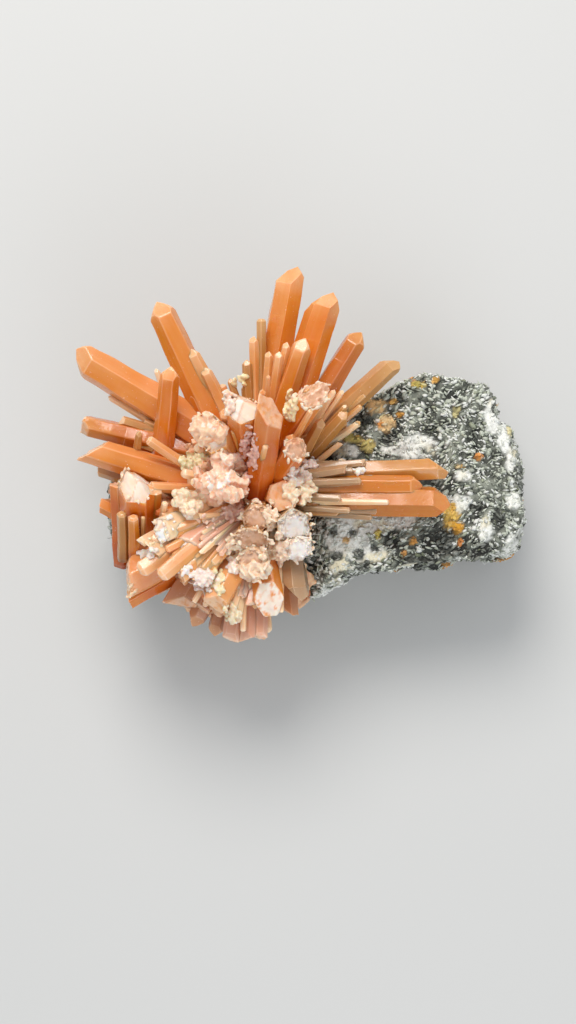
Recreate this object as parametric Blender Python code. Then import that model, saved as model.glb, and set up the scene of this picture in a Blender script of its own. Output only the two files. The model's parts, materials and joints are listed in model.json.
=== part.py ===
"""A spray of orange quartz crystals on its block of grey rock, lying on the rock's flat back.

Units are metres and +Z is up. The origin is under the middle of the whole piece, on the surface it
lies on. Crystals are measured in millimetres as they look from a viewpoint high over the front of
the piece: x to the right, y up the picture, and z the true height over the surface. The function
seen() turns such a measure into a point of the model.
"""

import math
import random

import bmesh
import bpy
from mathutils import Euler, Matrix, Vector, noise

MM = 0.001

# Viewpoint that the measures are taken from
VIEW_DISTANCE = 400.0
VIEW_ELEVATION = math.radians(80.0)
VIEW_MIDDLE = (-1.7, -3.1)
FACE_LEVEL = 20.0

# Middle of the whole piece, which becomes the origin
MIDDLE = (0.5, 4.73)

# Rock, with each kind of lump as its height in millimetres and how quickly it comes and goes
ROCK_TOP = 20.0
ROCK_LUMP = (0.9, 0.2)
ROCK_GRIT = (0.6, 0.6)
ROCK_WALL_LUMP = (1.3, 0.14)
ROCK_WALL_GRIT = (1.3, 0.42)
ROCK_WALL_STEP = 2.5
ROCK_UNDERCUT = 0.19
ROCK_FACE_CELL = 2.1
ROCK_SLAB = (74.0, 58.0)

# Seat of the crystals on the rock: a low mound that falls away to the left and to both sides
SEAT_TOP = 17.6
SEAT_FALL = 5.5
SEAT_MIDDLE = (-6.0, -3.0)
SEAT_REACH = (22.0, 14.0)
SEAT_EDGE = (1.0, 5.0)
SEAT_DEEPEST = 1.5
SEAT_GAP = 0.3

# The rock's outline as seen, at the height of its face
ROCK_OUTLINE = (
    (32.0, -3.3), (31.7, -6.8), (30.0, -9.0), (22.6, -9.8), (7.7, -12.1), (-1.0, -15.8),
    (-10.0, -16.6), (-20.0, -14.0), (-25.5, -9.5), (-27.6, -5.0), (-27.4, 2.0), (-25.0, 5.5),
    (-17.0, 8.5), (-8.0, 9.8), (3.0, 12.0), (11.1, 14.0), (16.0, 15.4), (20.4, 16.4),
    (26.9, 16.0), (28.3, 12.9), (27.6, 11.4), (30.1, 8.0), (32.0, 3.3),
)
# Height of each ring of the rock's wall, and how far it stands out past the outline. The wall that
# faces the viewer leans in under the face by ROCK_UNDERCUT for each millimetre of depth.
ROCK_RINGS = (
    (0.0, -3.4), (1.2, -2.0), (3.6, -0.9), (6.6, -0.2), (9.6, 0.3), (12.6, 0.3),
    (15.2, 0.4), (17.4, 0.3), (19.4, 0.0), (22.5, -1.0),
)

# Ends of the crystals: each angle is from the crystal's length to the way the face looks
TIP_ANGLE = math.radians(52.0)
SLANT_ANGLE = math.radians(42.0)
BLUNT_ANGLE = math.radians(45.0)
CHIP_ANGLE = math.radians(48.0)
FACING_ANGLE = math.radians(32.0)
BREAK_ANGLES = (12.0, 30.0)
MINOR_FACE_SETBACK = 0.35
TIP_UNEVENNESS = 0.12
BREAK_DEPTH = 0.3
CHIP_DEPTH = 0.1
BLUNT_REACH = 0.5

# Root masses between the crystals
LUMP_TURN = Euler((0.4, 0.7, 0.3)).to_matrix()
LUMP_ROUNDS = 3
LUMP_WAVE = 2.3

SEED = 7


def seen(x, y, z):
    """The model point, in metres, at height z that looks to be at (x, y) from the viewpoint."""
    forward = Vector((0.0, math.cos(VIEW_ELEVATION), -math.sin(VIEW_ELEVATION)))
    upward = Vector((0.0, math.sin(VIEW_ELEVATION), math.cos(VIEW_ELEVATION)))
    eye = Vector((*VIEW_MIDDLE, FACE_LEVEL)) - forward * VIEW_DISTANCE
    ray = forward * VIEW_DISTANCE + upward * (y - VIEW_MIDDLE[1])
    ray.x += x - VIEW_MIDDLE[0]
    point = eye + ray * ((z - eye.z) / ray.z)
    return (point - Vector((*MIDDLE, 0.0))) * MM


def clear_scene():
    for obj in list(bpy.data.objects):
        bpy.data.objects.remove(obj, do_unlink=True)


def new_collection(name):
    collection = bpy.data.collections.new(name)
    bpy.context.scene.collection.children.link(collection)
    return collection


def new_material(name, colour, roughness):
    material = bpy.data.materials.new(name)
    material.use_nodes = True
    shader = material.node_tree.nodes["Principled BSDF"]
    shader.inputs["Base Color"].default_value = (*colour, 1.0)
    shader.inputs["Roughness"].default_value = roughness
    shader.inputs["Metallic"].default_value = 0.0
    return material


def new_object(name, bm, collection):
    bmesh.ops.recalc_face_normals(bm, faces=bm.faces)
    mesh = bpy.data.meshes.new(name)
    bm.to_mesh(mesh)
    bm.free()
    obj = bpy.data.objects.new(name, mesh)
    collection.objects.link(obj)
    return obj


def hide(obj):
    obj.hide_render = True
    obj.display_type = "WIRE"


def cut(bm, point, normal):
    """Takes off all that lies outside a plane, and closes the cut."""
    cut_geometry = bmesh.ops.bisect_plane(
        bm,
        geom=bm.verts[:] + bm.edges[:] + bm.faces[:],
        dist=1e-8,
        plane_co=point,
        plane_no=normal,
        clear_outer=True,
    )["geom_cut"]
    edges = [item for item in cut_geometry if isinstance(item, bmesh.types.BMEdge)]
    if len(edges) > 2:
        bmesh.ops.contextual_create(bm, geom=edges)


def sloping(direction, angle):
    """A direction across the crystal, tipped towards its point."""
    return direction * math.sin(angle) + Vector((0.0, 0.0, math.cos(angle)))


def end_planes(end, sides, length, radius, lean, rng):
    """The flat faces that close a crystal's free end, as (point, normal)."""
    apex = Vector((-lean[0] * radius, lean[1] * radius, length))
    along = Vector((0.0, 0.0, 1.0))
    if end == "six":
        for number, side in enumerate(sides):
            setback = MINOR_FACE_SETBACK * (number % 2) + rng.uniform(0.0, TIP_UNEVENNESS)
            yield apex + along * (setback * radius), sloping(side, TIP_ANGLE)
    elif end == "broken":
        slope = math.radians(rng.uniform(*BREAK_ANGLES))
        side = sides[rng.randrange(6)]
        yield along * (length - BREAK_DEPTH * radius), sloping(side, slope)
        chip = sides[rng.randrange(6)]
        yield along * (length + CHIP_DEPTH * radius), sloping(chip, CHIP_ANGLE)
    elif end == "facing":
        yield along * length, sloping(Vector((0.0, 1.0, 0.0)), FACING_ANGLE)
        chip = sides[rng.randrange(6)]
        yield along * (length + CHIP_DEPTH * radius), sloping(chip, CHIP_ANGLE)
    elif end == "blunt":
        for side in sides:
            yield side * (BLUNT_REACH * radius) + along * length, sloping(side, BLUNT_ANGLE)
        yield along * length, along
    elif end == "slant":
        towards = Vector((-lean[0], lean[1], 0.0)).normalized()
        yield towards * radius + along * length, sloping(-towards, SLANT_ANGLE)


def crystal(name, root, tip, widths, end, group, flat=1.0, turn=None, lean=(0.0, 0.0)):
    """A six-sided crystal from its root to its tip, both as seen, with its widths there."""
    rng = random.Random(f"{SEED} {name}")
    foot, head = seen(*root), seen(*tip)
    length = (head - foot).length
    radius = widths[1] * MM / 2
    turned = math.radians(rng.uniform(0.0, 60.0) if turn is None else turn)
    bm = bmesh.new()
    past_tip = 1.0 + 2.0 * radius / length
    bmesh.ops.create_cone(
        bm,
        cap_ends=True,
        segments=6,
        radius1=widths[0] * MM / 2,
        radius2=radius,
        depth=length * past_tip,
        matrix=Matrix.Rotation(turned, 4, "Z") @ Matrix.Translation((0.0, 0.0, length * past_tip / 2)),
    )
    bm.normal_update()
    sides = [Vector((*f.normal.xy, 0.0)).normalized() for f in bm.faces if abs(f.normal.z) < 0.7]
    sides.sort(key=lambda side: math.atan2(side.y, side.x))
    for point, normal in end_planes(end, sides, length, radius, lean, rng):
        cut(bm, point, normal)
    bmesh.ops.scale(bm, vec=(1.0, flat, 1.0), verts=bm.verts)
    axis = (head - foot).normalized()
    towards_viewer = Vector((0.0, -math.cos(VIEW_ELEVATION), math.sin(VIEW_ELEVATION)))
    if abs(axis.dot(towards_viewer)) > 0.97:
        towards_viewer = Vector((0.0, 1.0, 0.0))
    front = (towards_viewer - axis * towards_viewer.dot(axis)).normalized()
    across = front.cross(axis)
    frame = Matrix((across, front, axis)).transposed().to_4x4()
    frame.translation = foot
    obj = new_object(name, bm, group)
    obj.matrix_world = frame
    hide(obj)
    return obj


def lump(name, centre, size, roughness, group):
    """A rough rounded mass, its size given as its half widths."""
    bm = bmesh.new()
    bmesh.ops.create_icosphere(bm, subdivisions=LUMP_ROUNDS, radius=1.0)
    middle = seen(*centre)
    bmesh.ops.rotate(bm, matrix=LUMP_TURN, verts=bm.verts)
    for vertex in bm.verts:
        swell = 1.0 + roughness * noise.noise(vertex.co * LUMP_WAVE + Vector(centre))
        vertex.co = middle + Vector(a * b * MM for a, b in zip(vertex.co * swell, size))
    obj = new_object(name, bm, group)
    hide(obj)
    return obj


def upper_fan(group):
    """The long crystals that fan out behind the middle, from the left round to the right."""
    crystal("broad_left", (-8.6, 4.9, 21.0), (-32.4, 19.6, 24.5), (6.6, 4.4), "six", group, turn=12,
            lean=(0.35, 0.0))
    crystal("broad_left_sliver", (-14.0, 5.6, 21.5), (-27.4, 13.4, 22.4), (1.8, 0.8), "six", group)
    crystal("upper_left", (-10.7, 6.0, 21.0), (-20.5, 27.0, 27.0), (5.2, 3.8), "six", group, turn=40)
    crystal("upper_left_side", (-9.8, 8.2, 21.5), (-15.6, 20.2, 26.4), (3.4, 1.7), "six", group)
    crystal("upper_left_step", (-9.2, 8.2, 21.8), (-13.9, 17.6, 26.0), (3.2, 1.6), "six", group)
    crystal("upper_left_chip", (-18.6, 12.6, 22.0), (-20.6, 17.4, 23.8), (1.3, 0.8), "six", group)
    crystal("tall_spire", (-6.0, 5.7, 21.0), (-1.1, 32.1, 27.0), (5.4, 4.3), "six", group, turn=5,
            lean=(0.35, 0.1))
    crystal("second_spire", (-3.4, 5.4, 21.5), (4.1, 28.4, 29.5), (5.6, 4.6), "six", group, turn=25,
            lean=(0.3, 0.2))
    crystal("third_spire", (0.0, 8.4, 21.5), (8.8, 22.6, 26.5), (4.4, 3.1), "six", group, turn=10)
    crystal("tan_spire", (0.1, 6.3, 22.0), (13.9, 18.7, 24.5), (3.4, 2.8), "six", group, turn=33,
            lean=(0.3, 0.0))
    crystal("between_spires", (-3.9, 7.6, 23.5), (0.8, 21.7, 31.5), (3.6, 2.8), "six", group, turn=18)
    crystal("slim_spire_a", (-4.0, 10.5, 24.5), (-1.8, 21.2, 30.6), (1.9, 1.3), "six", group)
    crystal("slim_spire_b", (-4.4, 10.0, 25.0), (-2.9, 19.8, 30.6), (1.8, 1.3), "six", group)
    crystal("slim_spire_c", (-5.0, 10.0, 24.5), (-4.4, 19.9, 29.6), (1.9, 1.3), "six", group)
    crystal("left_needle_a", (-5.4, 9.0, 23.5), (-5.5, 24.5, 28.0), (2.2, 1.4), "blunt", group)
    crystal("left_needle_b", (-6.3, 9.0, 23.5), (-6.6, 22.0, 27.6), (2.2, 1.4), "six", group)
    crystal("left_needle_c", (-7.0, 9.0, 23.5), (-7.6, 18.7, 27.2), (2.1, 1.3), "six", group)
    crystal("front_needle", (-5.3, 7.0, 24.0), (-4.5, 16.5, 31.6), (1.1, 0.7), "six", group)


def left_fan(group):
    """The crystals to the left, and the short one that stands in front of them."""
    crystal("standing_left", (-19.9, 3.0, 20.4), (-18.4, 17.8, 31.0), (3.5, 2.9), "six", group, turn=22)
    crystal("broken_left", (-12.1, 5.0, 21.0), (-31.5, 9.5, 23.0), (3.8, 3.2), "broken", group)
    crystal("broken_left_chip", (-17.0, 7.4, 21.5), (-25.8, 10.0, 23.0), (1.9, 1.5), "broken", group)
    crystal("pointed_left", (-12.1, 0.2, 22.0), (-31.4, 6.2, 25.6), (4.6, 3.9), "slant", group, turn=30,
            lean=(-1.0, 0.0))
    crystal("short_bar", (-14.9, 2.7, 24.5), (-21.8, 7.3, 28.2), (1.8, 1.5), "blunt", group)
    crystal("tiny_upright", (-23.4, 5.0, 23.0), (-22.9, 8.4, 27.4), (1.3, 1.1), "six", group)
    crystal("level_bar", (-13.2, -0.1, 24.0), (-21.4, 0.5, 26.0), (1.9, 1.6), "broken", group)
    crystal("block_main", (-23.0, -8.6, 16.0), (-23.3, 1.4, 28.4), (6.4, 5.4), "facing", group, turn=28)
    crystal("block_outer", (-25.1, -10.4, 16.5), (-26.0, 1.2, 25.5), (3.4, 2.8), "broken", group)
    crystal("block_inner", (-21.2, -8.8, 17.0), (-20.9, 0.6, 26.6), (3.0, 2.4), "broken", group)
    crystal("block_low_a", (-25.2, -9.8, 19.5), (-25.4, -3.2, 26.0), (1.9, 1.6), "blunt", group)
    crystal("block_low_b", (-23.6, -10.0, 20.0), (-23.8, -3.7, 27.4), (2.0, 1.7), "blunt", group)
    crystal("block_low_c", (-22.6, -8.4, 20.5), (-22.4, -3.8, 27.0), (0.9, 0.7), "blunt", group)
    crystal("behind_left_a", (-21.0, 0.6, 20.0), (-29.1, 3.2, 21.0), (2.6, 2.2), "broken", group)
    crystal("behind_left_b", (-21.5, -5.4, 20.0), (-28.8, -1.8, 21.5), (2.8, 2.3), "broken", group)


def lower_left_fan(group):
    """Blades and broken crystals that point down to the left."""
    crystal("blade_upper", (-9.9, -3.0, 24.0), (-23.0, -11.5, 26.2), (3.2, 2.7), "blunt", group, flat=0.5)
    crystal("blade_middle", (-10.2, -4.0, 24.6), (-20.0, -12.4, 27.4), (3.0, 2.5), "blunt", group, flat=0.55)
    crystal("blade_lower", (-9.9, -4.8, 24.0), (-17.4, -12.3, 26.4), (3.6, 3.0), "broken", group, flat=0.55)
    crystal("striped_root", (-8.6, -2.4, 23.0), (-15.8, -8.6, 26.2), (5.6, 4.4), "broken", group, flat=0.5)
    crystal("broad_low_left", (-14.4, -7.4, 19.6), (-25.4, -13.0, 20.8), (6.2, 6.2), "broken", group, turn=4)
    crystal("low_left_keel", (-14.6, -9.8, 18.6), (-24.6, -15.6, 19.0), (3.4, 3.0), "broken", group)
    crystal("pale_plate_a", (-15.0, -3.4, 24.0), (-20.4, -6.0, 27.8), (4.2, 3.8), "broken", group, flat=0.35)
    crystal("pale_plate_b", (-16.6, -5.6, 24.0), (-21.6, -8.8, 27.0), (4.0, 3.5), "broken", group, flat=0.4)
    crystal("pale_plate_c", (-18.0, -5.0, 23.6), (-22.9, -7.6, 26.4), (1.9, 1.6), "broken", group, flat=0.5)
    crystal("small_knob", (-19.8, -5.4, 23.0), (-19.3, -1.7, 27.4), (1.2, 1.0), "blunt", group)
    crystal("upper_edge_blade", (-12.4, -2.2, 23.6), (-20.0, -4.6, 26.2), (3.4, 2.7), "broken", group,
            flat=0.55)
    crystal("brown_ledge", (-13.0, -9.8, 19.8), (-17.6, -17.2, 18.8), (5.2, 5.8), "broken", group, flat=0.7)
    crystal("brown_ledge_right", (-11.4, -10.6, 19.4), (-14.4, -17.6, 18.6), (3.8, 3.6), "broken", group)
    crystal("hidden_low_a", (-11.4, -12.0, 18.4), (-15.4, -19.4, 17.2), (3.4, 2.8), "six", group)
    crystal("hidden_low_b", (-10.0, -12.6, 18.0), (-12.2, -20.8, 16.8), (3.0, 2.6), "six", group)
    crystal("sliver_a", (-12.0, -11.0, 23.0), (-15.2, -16.0, 23.6), (1.1, 0.8), "broken", group)
    crystal("sliver_b", (-11.4, -11.6, 23.0), (-13.7, -16.6, 23.6), (1.1, 0.9), "broken", group)


def lower_fan(group):
    """Crystals and thin blades that point down."""
    crystal("down_left", (-8.6, -9.6, 22.0), (-12.4, -17.1, 24.8), (4.4, 4.2), "broken", group, turn=10)
    crystal("down_crust", (-8.4, -12.0, 21.6), (-9.4, -19.0, 22.6), (2.4, 1.9), "broken", group)
    crystal("down_blade_a", (-8.6, -12.4, 19.8), (-10.0, -21.7, 19.4), (2.8, 2.7), "broken", group, flat=0.4)
    crystal("down_blade_b", (-7.0, -12.4, 20.0), (-7.4, -21.7, 19.6), (3.0, 2.9), "broken", group, flat=0.4)
    crystal("down_blade_c", (-7.8, -12.0, 21.4), (-8.1, -20.2, 21.6), (1.0, 0.9), "blunt", group)
    crystal("down_blade_d", (-5.6, -12.6, 20.2), (-5.5, -21.3, 19.8), (2.2, 2.0), "broken", group, flat=0.5)
    crystal("down_blade_e", (-5.0, -13.0, 19.8), (-4.5, -20.4, 19.4), (1.5, 1.2), "six", group, flat=0.6)
    crystal("down_splinter", (-6.6, -12.0, 22.0), (-6.4, -17.0, 22.8), (1.3, 0.9), "six", group)
    crystal("down_middle", (-5.2, -9.6, 22.0), (-4.2, -17.6, 24.8), (4.2, 4.8), "slant", group, turn=30,
            lean=(0.0, -1.0))
    crystal("down_right", (-1.4, -8.4, 21.8), (-0.4, -15.9, 22.6), (3.8, 4.6), "six", group, turn=8,
            lean=(-0.3, 0.1))
    crystal("down_hidden", (-2.4, -10.4, 19.4), (-1.4, -17.8, 18.8), (3.2, 2.6), "broken", group)


def centre(group):
    """The crystals that point at the viewer, and the pale heads between them."""
    crystal("front_main", (-6.2, -1.6, 22.0), (-4.0, 12.9, 37.5), (4.4, 4.6), "slant", group, turn=0,
            lean=(-1.0, -0.3))
    crystal("front_main_side", (-5.9, 4.0, 26.0), (-5.3, 14.4, 36.0), (1.2, 1.0), "six", group)
    crystal("front_rod", (-6.2, 1.4, 25.5), (-4.9, 6.4, 33.8), (1.2, 1.0), "blunt", group)
    crystal("front_right", (-4.4, 0.4, 22.0), (0.0, 6.8, 33.5), (4.0, 4.0), "six", group, turn=28)
    crystal("front_right_side", (-3.8, 1.4, 22.5), (-1.2, 7.9, 31.6), (1.8, 1.6), "six", group)
    crystal("open_end", (-4.2, 5.0, 21.5), (2.0, 13.9, 33.5), (4.0, 4.4), "facing", group, turn=14)
    crystal("open_end_side", (-3.6, 5.6, 24.5), (1.3, 14.6, 33.0), (1.2, 1.0), "six", group)
    crystal("open_end_rib", (-2.2, 5.0, 26.0), (1.6, 11.4, 33.6), (1.1, 0.9), "blunt", group)
    crystal("square_head", (-7.1, 3.2, 21.5), (-8.2, 12.6, 36.0), (4.6, 5.7), "facing", group, turn=45)
    crystal("square_head_side", (-8.0, 4.4, 22.0), (-10.8, 11.2, 32.6), (2.2, 1.9), "blunt", group)
    crystal("left_head", (-8.6, 2.6, 21.5), (-13.0, 8.5, 32.4), (4.2, 5.2), "facing", group, turn=15)
    crystal("left_head_low", (-9.6, 3.0, 21.5), (-14.9, 6.2, 29.2), (1.6, 1.3), "blunt", group)
    crystal("thin_between_heads", (-7.6, 3.6, 25.0), (-9.5, 8.8, 32.4), (1.3, 1.0), "six", group)
    crystal("thin_right_a", (0.2, 4.6, 22.8), (3.2, 10.2, 28.6), (2.0, 1.8), "six", group)
    crystal("thin_right_b", (1.2, 5.0, 22.6), (6.8, 11.2, 26.4), (2.4, 2.1), "six", group)
    crystal("pale_right_a", (1.4, 7.4, 22.6), (6.2, 14.3, 27.0), (1.1, 0.8), "six", group)
    crystal("pale_right_b", (1.0, 7.6, 22.8), (5.0, 14.4, 27.6), (1.1, 0.9), "six", group)
    crystal("pale_right_c", (2.0, 7.0, 22.6), (6.7, 12.2, 26.6), (1.1, 0.9), "six", group)
    crystal("pale_right_d", (0.6, 8.0, 23.0), (3.8, 14.0, 28.4), (1.2, 0.9), "six", group)


def heads(group):
    """Stubby crystals that face the viewer round the middle and below it."""
    crystal("crust_head", (-10.4, 0.6, 21.0), (-11.4, 1.2, 31.0), (5.0, 4.4), "broken", group)
    crystal("crust_knob_left", (-12.0, 1.4, 26.0), (-16.9, 2.5, 28.6), (1.8, 1.5), "blunt", group)
    crystal("crust_knob_left_low", (-12.4, 0.6, 26.0), (-15.4, 1.2, 29.4), (1.5, 1.3), "blunt", group)
    crystal("crust_knob_top", (-10.6, 2.4, 26.5), (-11.6, 5.8, 30.8), (1.4, 1.2), "blunt", group)
    crystal("crust_knob_top_b", (-10.0, 2.0, 26.5), (-10.4, 4.6, 31.4), (1.5, 1.2), "blunt", group)
    crystal("crust_knob_low", (-10.2, -0.4, 26.0), (-9.7, -1.0, 30.8), (2.2, 2.0), "blunt", group)
    crystal("crust_knob_right", (-8.2, 0.0, 22.0), (-8.0, 0.7, 30.4), (1.4, 1.0), "blunt", group)
    crystal("cream_finger_a", (-13.0, -0.8, 24.0), (-18.2, -0.4, 27.6), (1.6, 1.3), "blunt", group)
    crystal("cream_finger_b", (-13.0, -1.6, 24.0), (-18.3, -1.8, 27.2), (1.7, 1.4), "blunt", group)
    crystal("cream_plate", (-12.6, -2.2, 24.0), (-16.4, -3.4, 27.8), (2.8, 2.2), "broken", group, flat=0.5)
    crystal("pink_rod", (-10.6, -3.4, 25.0), (-14.4, -3.7, 27.4), (0.9, 0.8), "broken", group)
    crystal("hexagon_head", (-6.2, -2.4, 20.5), (-6.2, -4.1, 28.6), (3.8, 5.0), "blunt", group, turn=20)
    crystal("hexagon_side", (-4.4, -2.6, 20.5), (-3.9, -4.3, 27.6), (2.6, 2.8), "broken", group)
    crystal("cracked_head", (-6.6, -5.0, 20.5), (-7.1, -8.0, 28.0), (5.0, 6.4), "broken", group, turn=50)
    crystal("cracked_side", (-8.0, -5.0, 20.5), (-8.9, -6.7, 27.6), (1.8, 1.7), "blunt", group)
    crystal("fringed_head", (-6.4, -7.0, 20.5), (-6.7, -10.9, 27.0), (4.2, 5.0), "broken", group)
    crystal("glassy_head", (-2.0, -3.4, 20.5), (-0.8, -5.4, 28.2), (4.8, 6.0), "blunt", group, turn=35)
    crystal("white_head", (-1.4, -5.4, 20.5), (-0.1, -8.6, 27.2), (3.8, 4.8), "blunt", group)
    crystal("between_heads", (-2.6, -6.0, 20.5), (-2.5, -9.1, 26.0), (2.6, 2.7), "blunt", group)
    crystal("peach_head", (-3.4, -0.4, 21.0), (-2.4, -0.9, 28.6), (4.4, 5.0), "broken", group)
    crystal("peach_knob_a", (-1.8, -0.4, 24.5), (1.5, -0.2, 27.6), (1.6, 1.3), "blunt", group)
    crystal("peach_knob_b", (-1.8, -1.0, 24.5), (0.7, -1.8, 27.0), (1.4, 1.2), "blunt", group)
    crystal("peach_knob_c", (-2.4, 0.4, 25.0), (-0.4, 1.3, 28.4), (1.4, 1.2), "broken", group)


def right_fan(group):
    """Crystals that lie to the right, just over the rock's face."""
    crystal("right_upper", (-4.0, 2.2, 23.2), (21.2, 3.2, 24.4), (3.7, 3.5), "six", group, turn=0,
            lean=(0.4, 0.0))
    crystal("right_middle", (-3.4, 0.6, 24.6), (17.5, 0.6, 25.6), (3.4, 3.2), "six", group, turn=30)
    crystal("right_lower", (-4.0, -1.2, 23.6), (21.5, -1.6, 24.8), (4.6, 4.6), "six", group, turn=15,
            lean=(0.2, 0.1))
    crystal("right_lowest", (-1.4, -2.6, 23.4), (10.4, -3.7, 24.2), (1.8, 1.4), "blunt", group)
    crystal("right_blade_a", (-2.0, 2.8, 24.4), (9.4, 4.0, 25.8), (1.6, 1.1), "broken", group)
    crystal("right_blade_b", (-2.2, 1.7, 24.6), (6.8, 3.1, 27.0), (1.8, 1.4), "broken", group)
    crystal("right_blade_c", (-1.4, 0.8, 25.6), (8.8, 1.3, 27.3), (1.6, 1.2), "blunt", group)
    crystal("right_blade_d", (-1.4, -0.6, 25.6), (6.0, -1.2, 27.2), (1.5, 1.1), "broken", group)
    crystal("right_blade_e", (-1.4, -1.4, 25.0), (12.7, -1.7, 27.2), (1.4, 0.9), "blunt", group)
    crystal("right_blade_f", (-1.6, -2.2, 24.6), (7.2, -2.9, 26.2), (1.3, 1.0), "blunt", group)


def outline_points():
    """The rock's outline with a point every few millimetres, and each point's outward direction."""
    corners = [seen(x, y, FACE_LEVEL).xy / MM for x, y in ROCK_OUTLINE]
    points = []
    for start, end in zip(corners, corners[1:] + corners[:1]):
        steps = max(1, round((end - start).length / ROCK_WALL_STEP))
        points += [start.lerp(end, step / steps) for step in range(steps)]
    outward = []
    for number in range(len(points)):
        along = points[(number + 1) % len(points)] - points[number - 1]
        outward.append(Vector((-along.y, along.x)).normalized())
    return points, outward


def bumps(spot, kind):
    """How far a kind of lump stands out at a place."""
    height, wave = kind
    return height * noise.noise(spot * wave)


def rock_walls(parts):
    """The block's sides, as the outline carried up through rings that stand in or out."""
    points, outward = outline_points()
    bm = bmesh.new()
    rings = []
    for height, out in ROCK_RINGS:
        ring = []
        for point, side in zip(points, outward):
            spot = Vector((*point, height))
            lumps = bumps(spot, ROCK_WALL_LUMP) + bumps(spot, ROCK_WALL_GRIT)
            undercut = ROCK_UNDERCUT * (FACE_LEVEL - height) * min(0.0, side.y)
            ring.append(bm.verts.new((*(point + side * (out + lumps + undercut)), height)))
        rings.append(ring)
    for lower, upper in zip(rings, rings[1:]):
        for number in range(len(points)):
            last = number - 1
            bm.faces.new((lower[last], lower[number], upper[number], upper[last]))
    bm.faces.new(rings[0])
    bm.faces.new(rings[-1])
    bmesh.ops.scale(bm, vec=(MM, MM, MM), verts=bm.verts)
    return new_object("matrix_rock", bm, parts)


def rock_height(spot):
    """Height of the rock at a place: a lumpy open face on the right, and the seat of the crystals."""
    place = Vector((*spot, ROCK_TOP))
    lumps = bumps(place, ROCK_LUMP) + bumps(place, ROCK_GRIT)
    middle = seen(*SEAT_MIDDLE, SEAT_TOP).xy / MM
    away = Vector((min(0.0, spot.x - middle.x) / SEAT_REACH[0], (spot.y - middle.y) / SEAT_REACH[1]))
    seat = SEAT_TOP - SEAT_FALL * min(SEAT_DEEPEST, away.length_squared)
    start = seen(SEAT_EDGE[0], 0.0, SEAT_TOP).x / MM
    end = seen(SEAT_EDGE[1], 0.0, ROCK_TOP).x / MM
    share = min(1.0, max(0.0, (spot.x - start) / (end - start)))
    share = share * share * (3.0 - 2.0 * share)
    return seat + share * (ROCK_TOP - seat) + lumps


def rock_slab(name, rise, cutters):
    """A slab whose lumpy top is the rock's face, raised by a given amount."""
    bm = bmesh.new()
    cells = [round(size / ROCK_FACE_CELL) for size in ROCK_SLAB]
    bmesh.ops.create_grid(bm, x_segments=cells[0], y_segments=cells[1], size=0.5)
    bmesh.ops.scale(bm, vec=(*ROCK_SLAB, 1.0), verts=bm.verts)
    bmesh.ops.translate(bm, vec=(0.0, 0.0, -ROCK_TOP / 4), verts=bm.verts)
    raised = bmesh.ops.extrude_face_region(bm, geom=bm.faces[:])["geom"]
    for item in raised:
        if isinstance(item, bmesh.types.BMVert):
            item.co.z = rock_height(item.co.xy) + rise
    bmesh.ops.scale(bm, vec=(MM, MM, MM), verts=bm.verts)
    slab = new_object(name, bm, cutters)
    hide(slab)
    return slab


def matrix_rock(parts, cutters, material):
    rock = rock_walls(parts)
    rock.data.materials.append(material)
    shape = rock.modifiers.new("face", "BOOLEAN")
    shape.operation = "INTERSECT"
    shape.object = rock_slab("rock_face_slab", 0.0, cutters)
    shape.solver = "EXACT"
    return rock


def crystal_spray(parts, pieces, cutters, material):
    """All the crystals and their root mass as one solid, flat underneath where it meets the rock."""
    for build in (upper_fan, left_fan, lower_left_fan, lower_fan, centre, heads, right_fan):
        build(pieces)
    lump("left_root", (-20.2, -4.2, 16.8), (5.0, 6.8, 5.6), 0.5, pieces)
    lump("upper_root", (-10.0, 5.6, 17.6), (11.0, 5.4, 5.6), 0.5, pieces)
    lump("lower_root", (-9.4, -11.4, 16.4), (9.4, 5.6, 6.4), 0.5, pieces)
    spray = lump("crystal_spray", (-8.6, -2.0, 18.6), (9.8, 9.4, 6.0), 0.4, parts)
    spray.hide_render = False
    spray.display_type = "TEXTURED"
    spray.data.materials.append(material)
    union = spray.modifiers.new("grown_together", "BOOLEAN")
    union.operation = "UNION"
    union.operand_type = "COLLECTION"
    union.collection = pieces
    union.solver = "EXACT"
    trim = spray.modifiers.new("seat", "BOOLEAN")
    trim.operation = "DIFFERENCE"
    trim.object = rock_slab("seat_slab", SEAT_GAP, cutters)
    trim.solver = "EXACT"
    return spray


def main():
    clear_scene()
    parts = new_collection("quartz")
    pieces = new_collection("spray_pieces")
    cutters = new_collection("cutters")
    matrix_rock(parts, cutters, new_material("grey_rock", (0.20, 0.21, 0.18), 0.9))
    crystal_spray(parts, pieces, cutters, new_material("orange_quartz", (0.80, 0.28, 0.08), 0.3))


main()
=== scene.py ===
"""Looks of the quartz spray on its rock: fine crystals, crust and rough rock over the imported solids.

Everything is placed as in the part. A place in millimetres is given as it looks from a viewpoint high over
the front of the piece: x to the right, y up the picture and z the true height over the surface. seen() turns
it into a point of the model. A place in pixels is one of the photograph's.
"""

import json
import math
import random
from collections import namedtuple
from functools import partial

import bmesh
import bpy
import numpy as np
from mathutils import Euler, Matrix, Vector, noise
from mathutils.bvhtree import BVHTree
from mathutils.kdtree import KDTree

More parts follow.
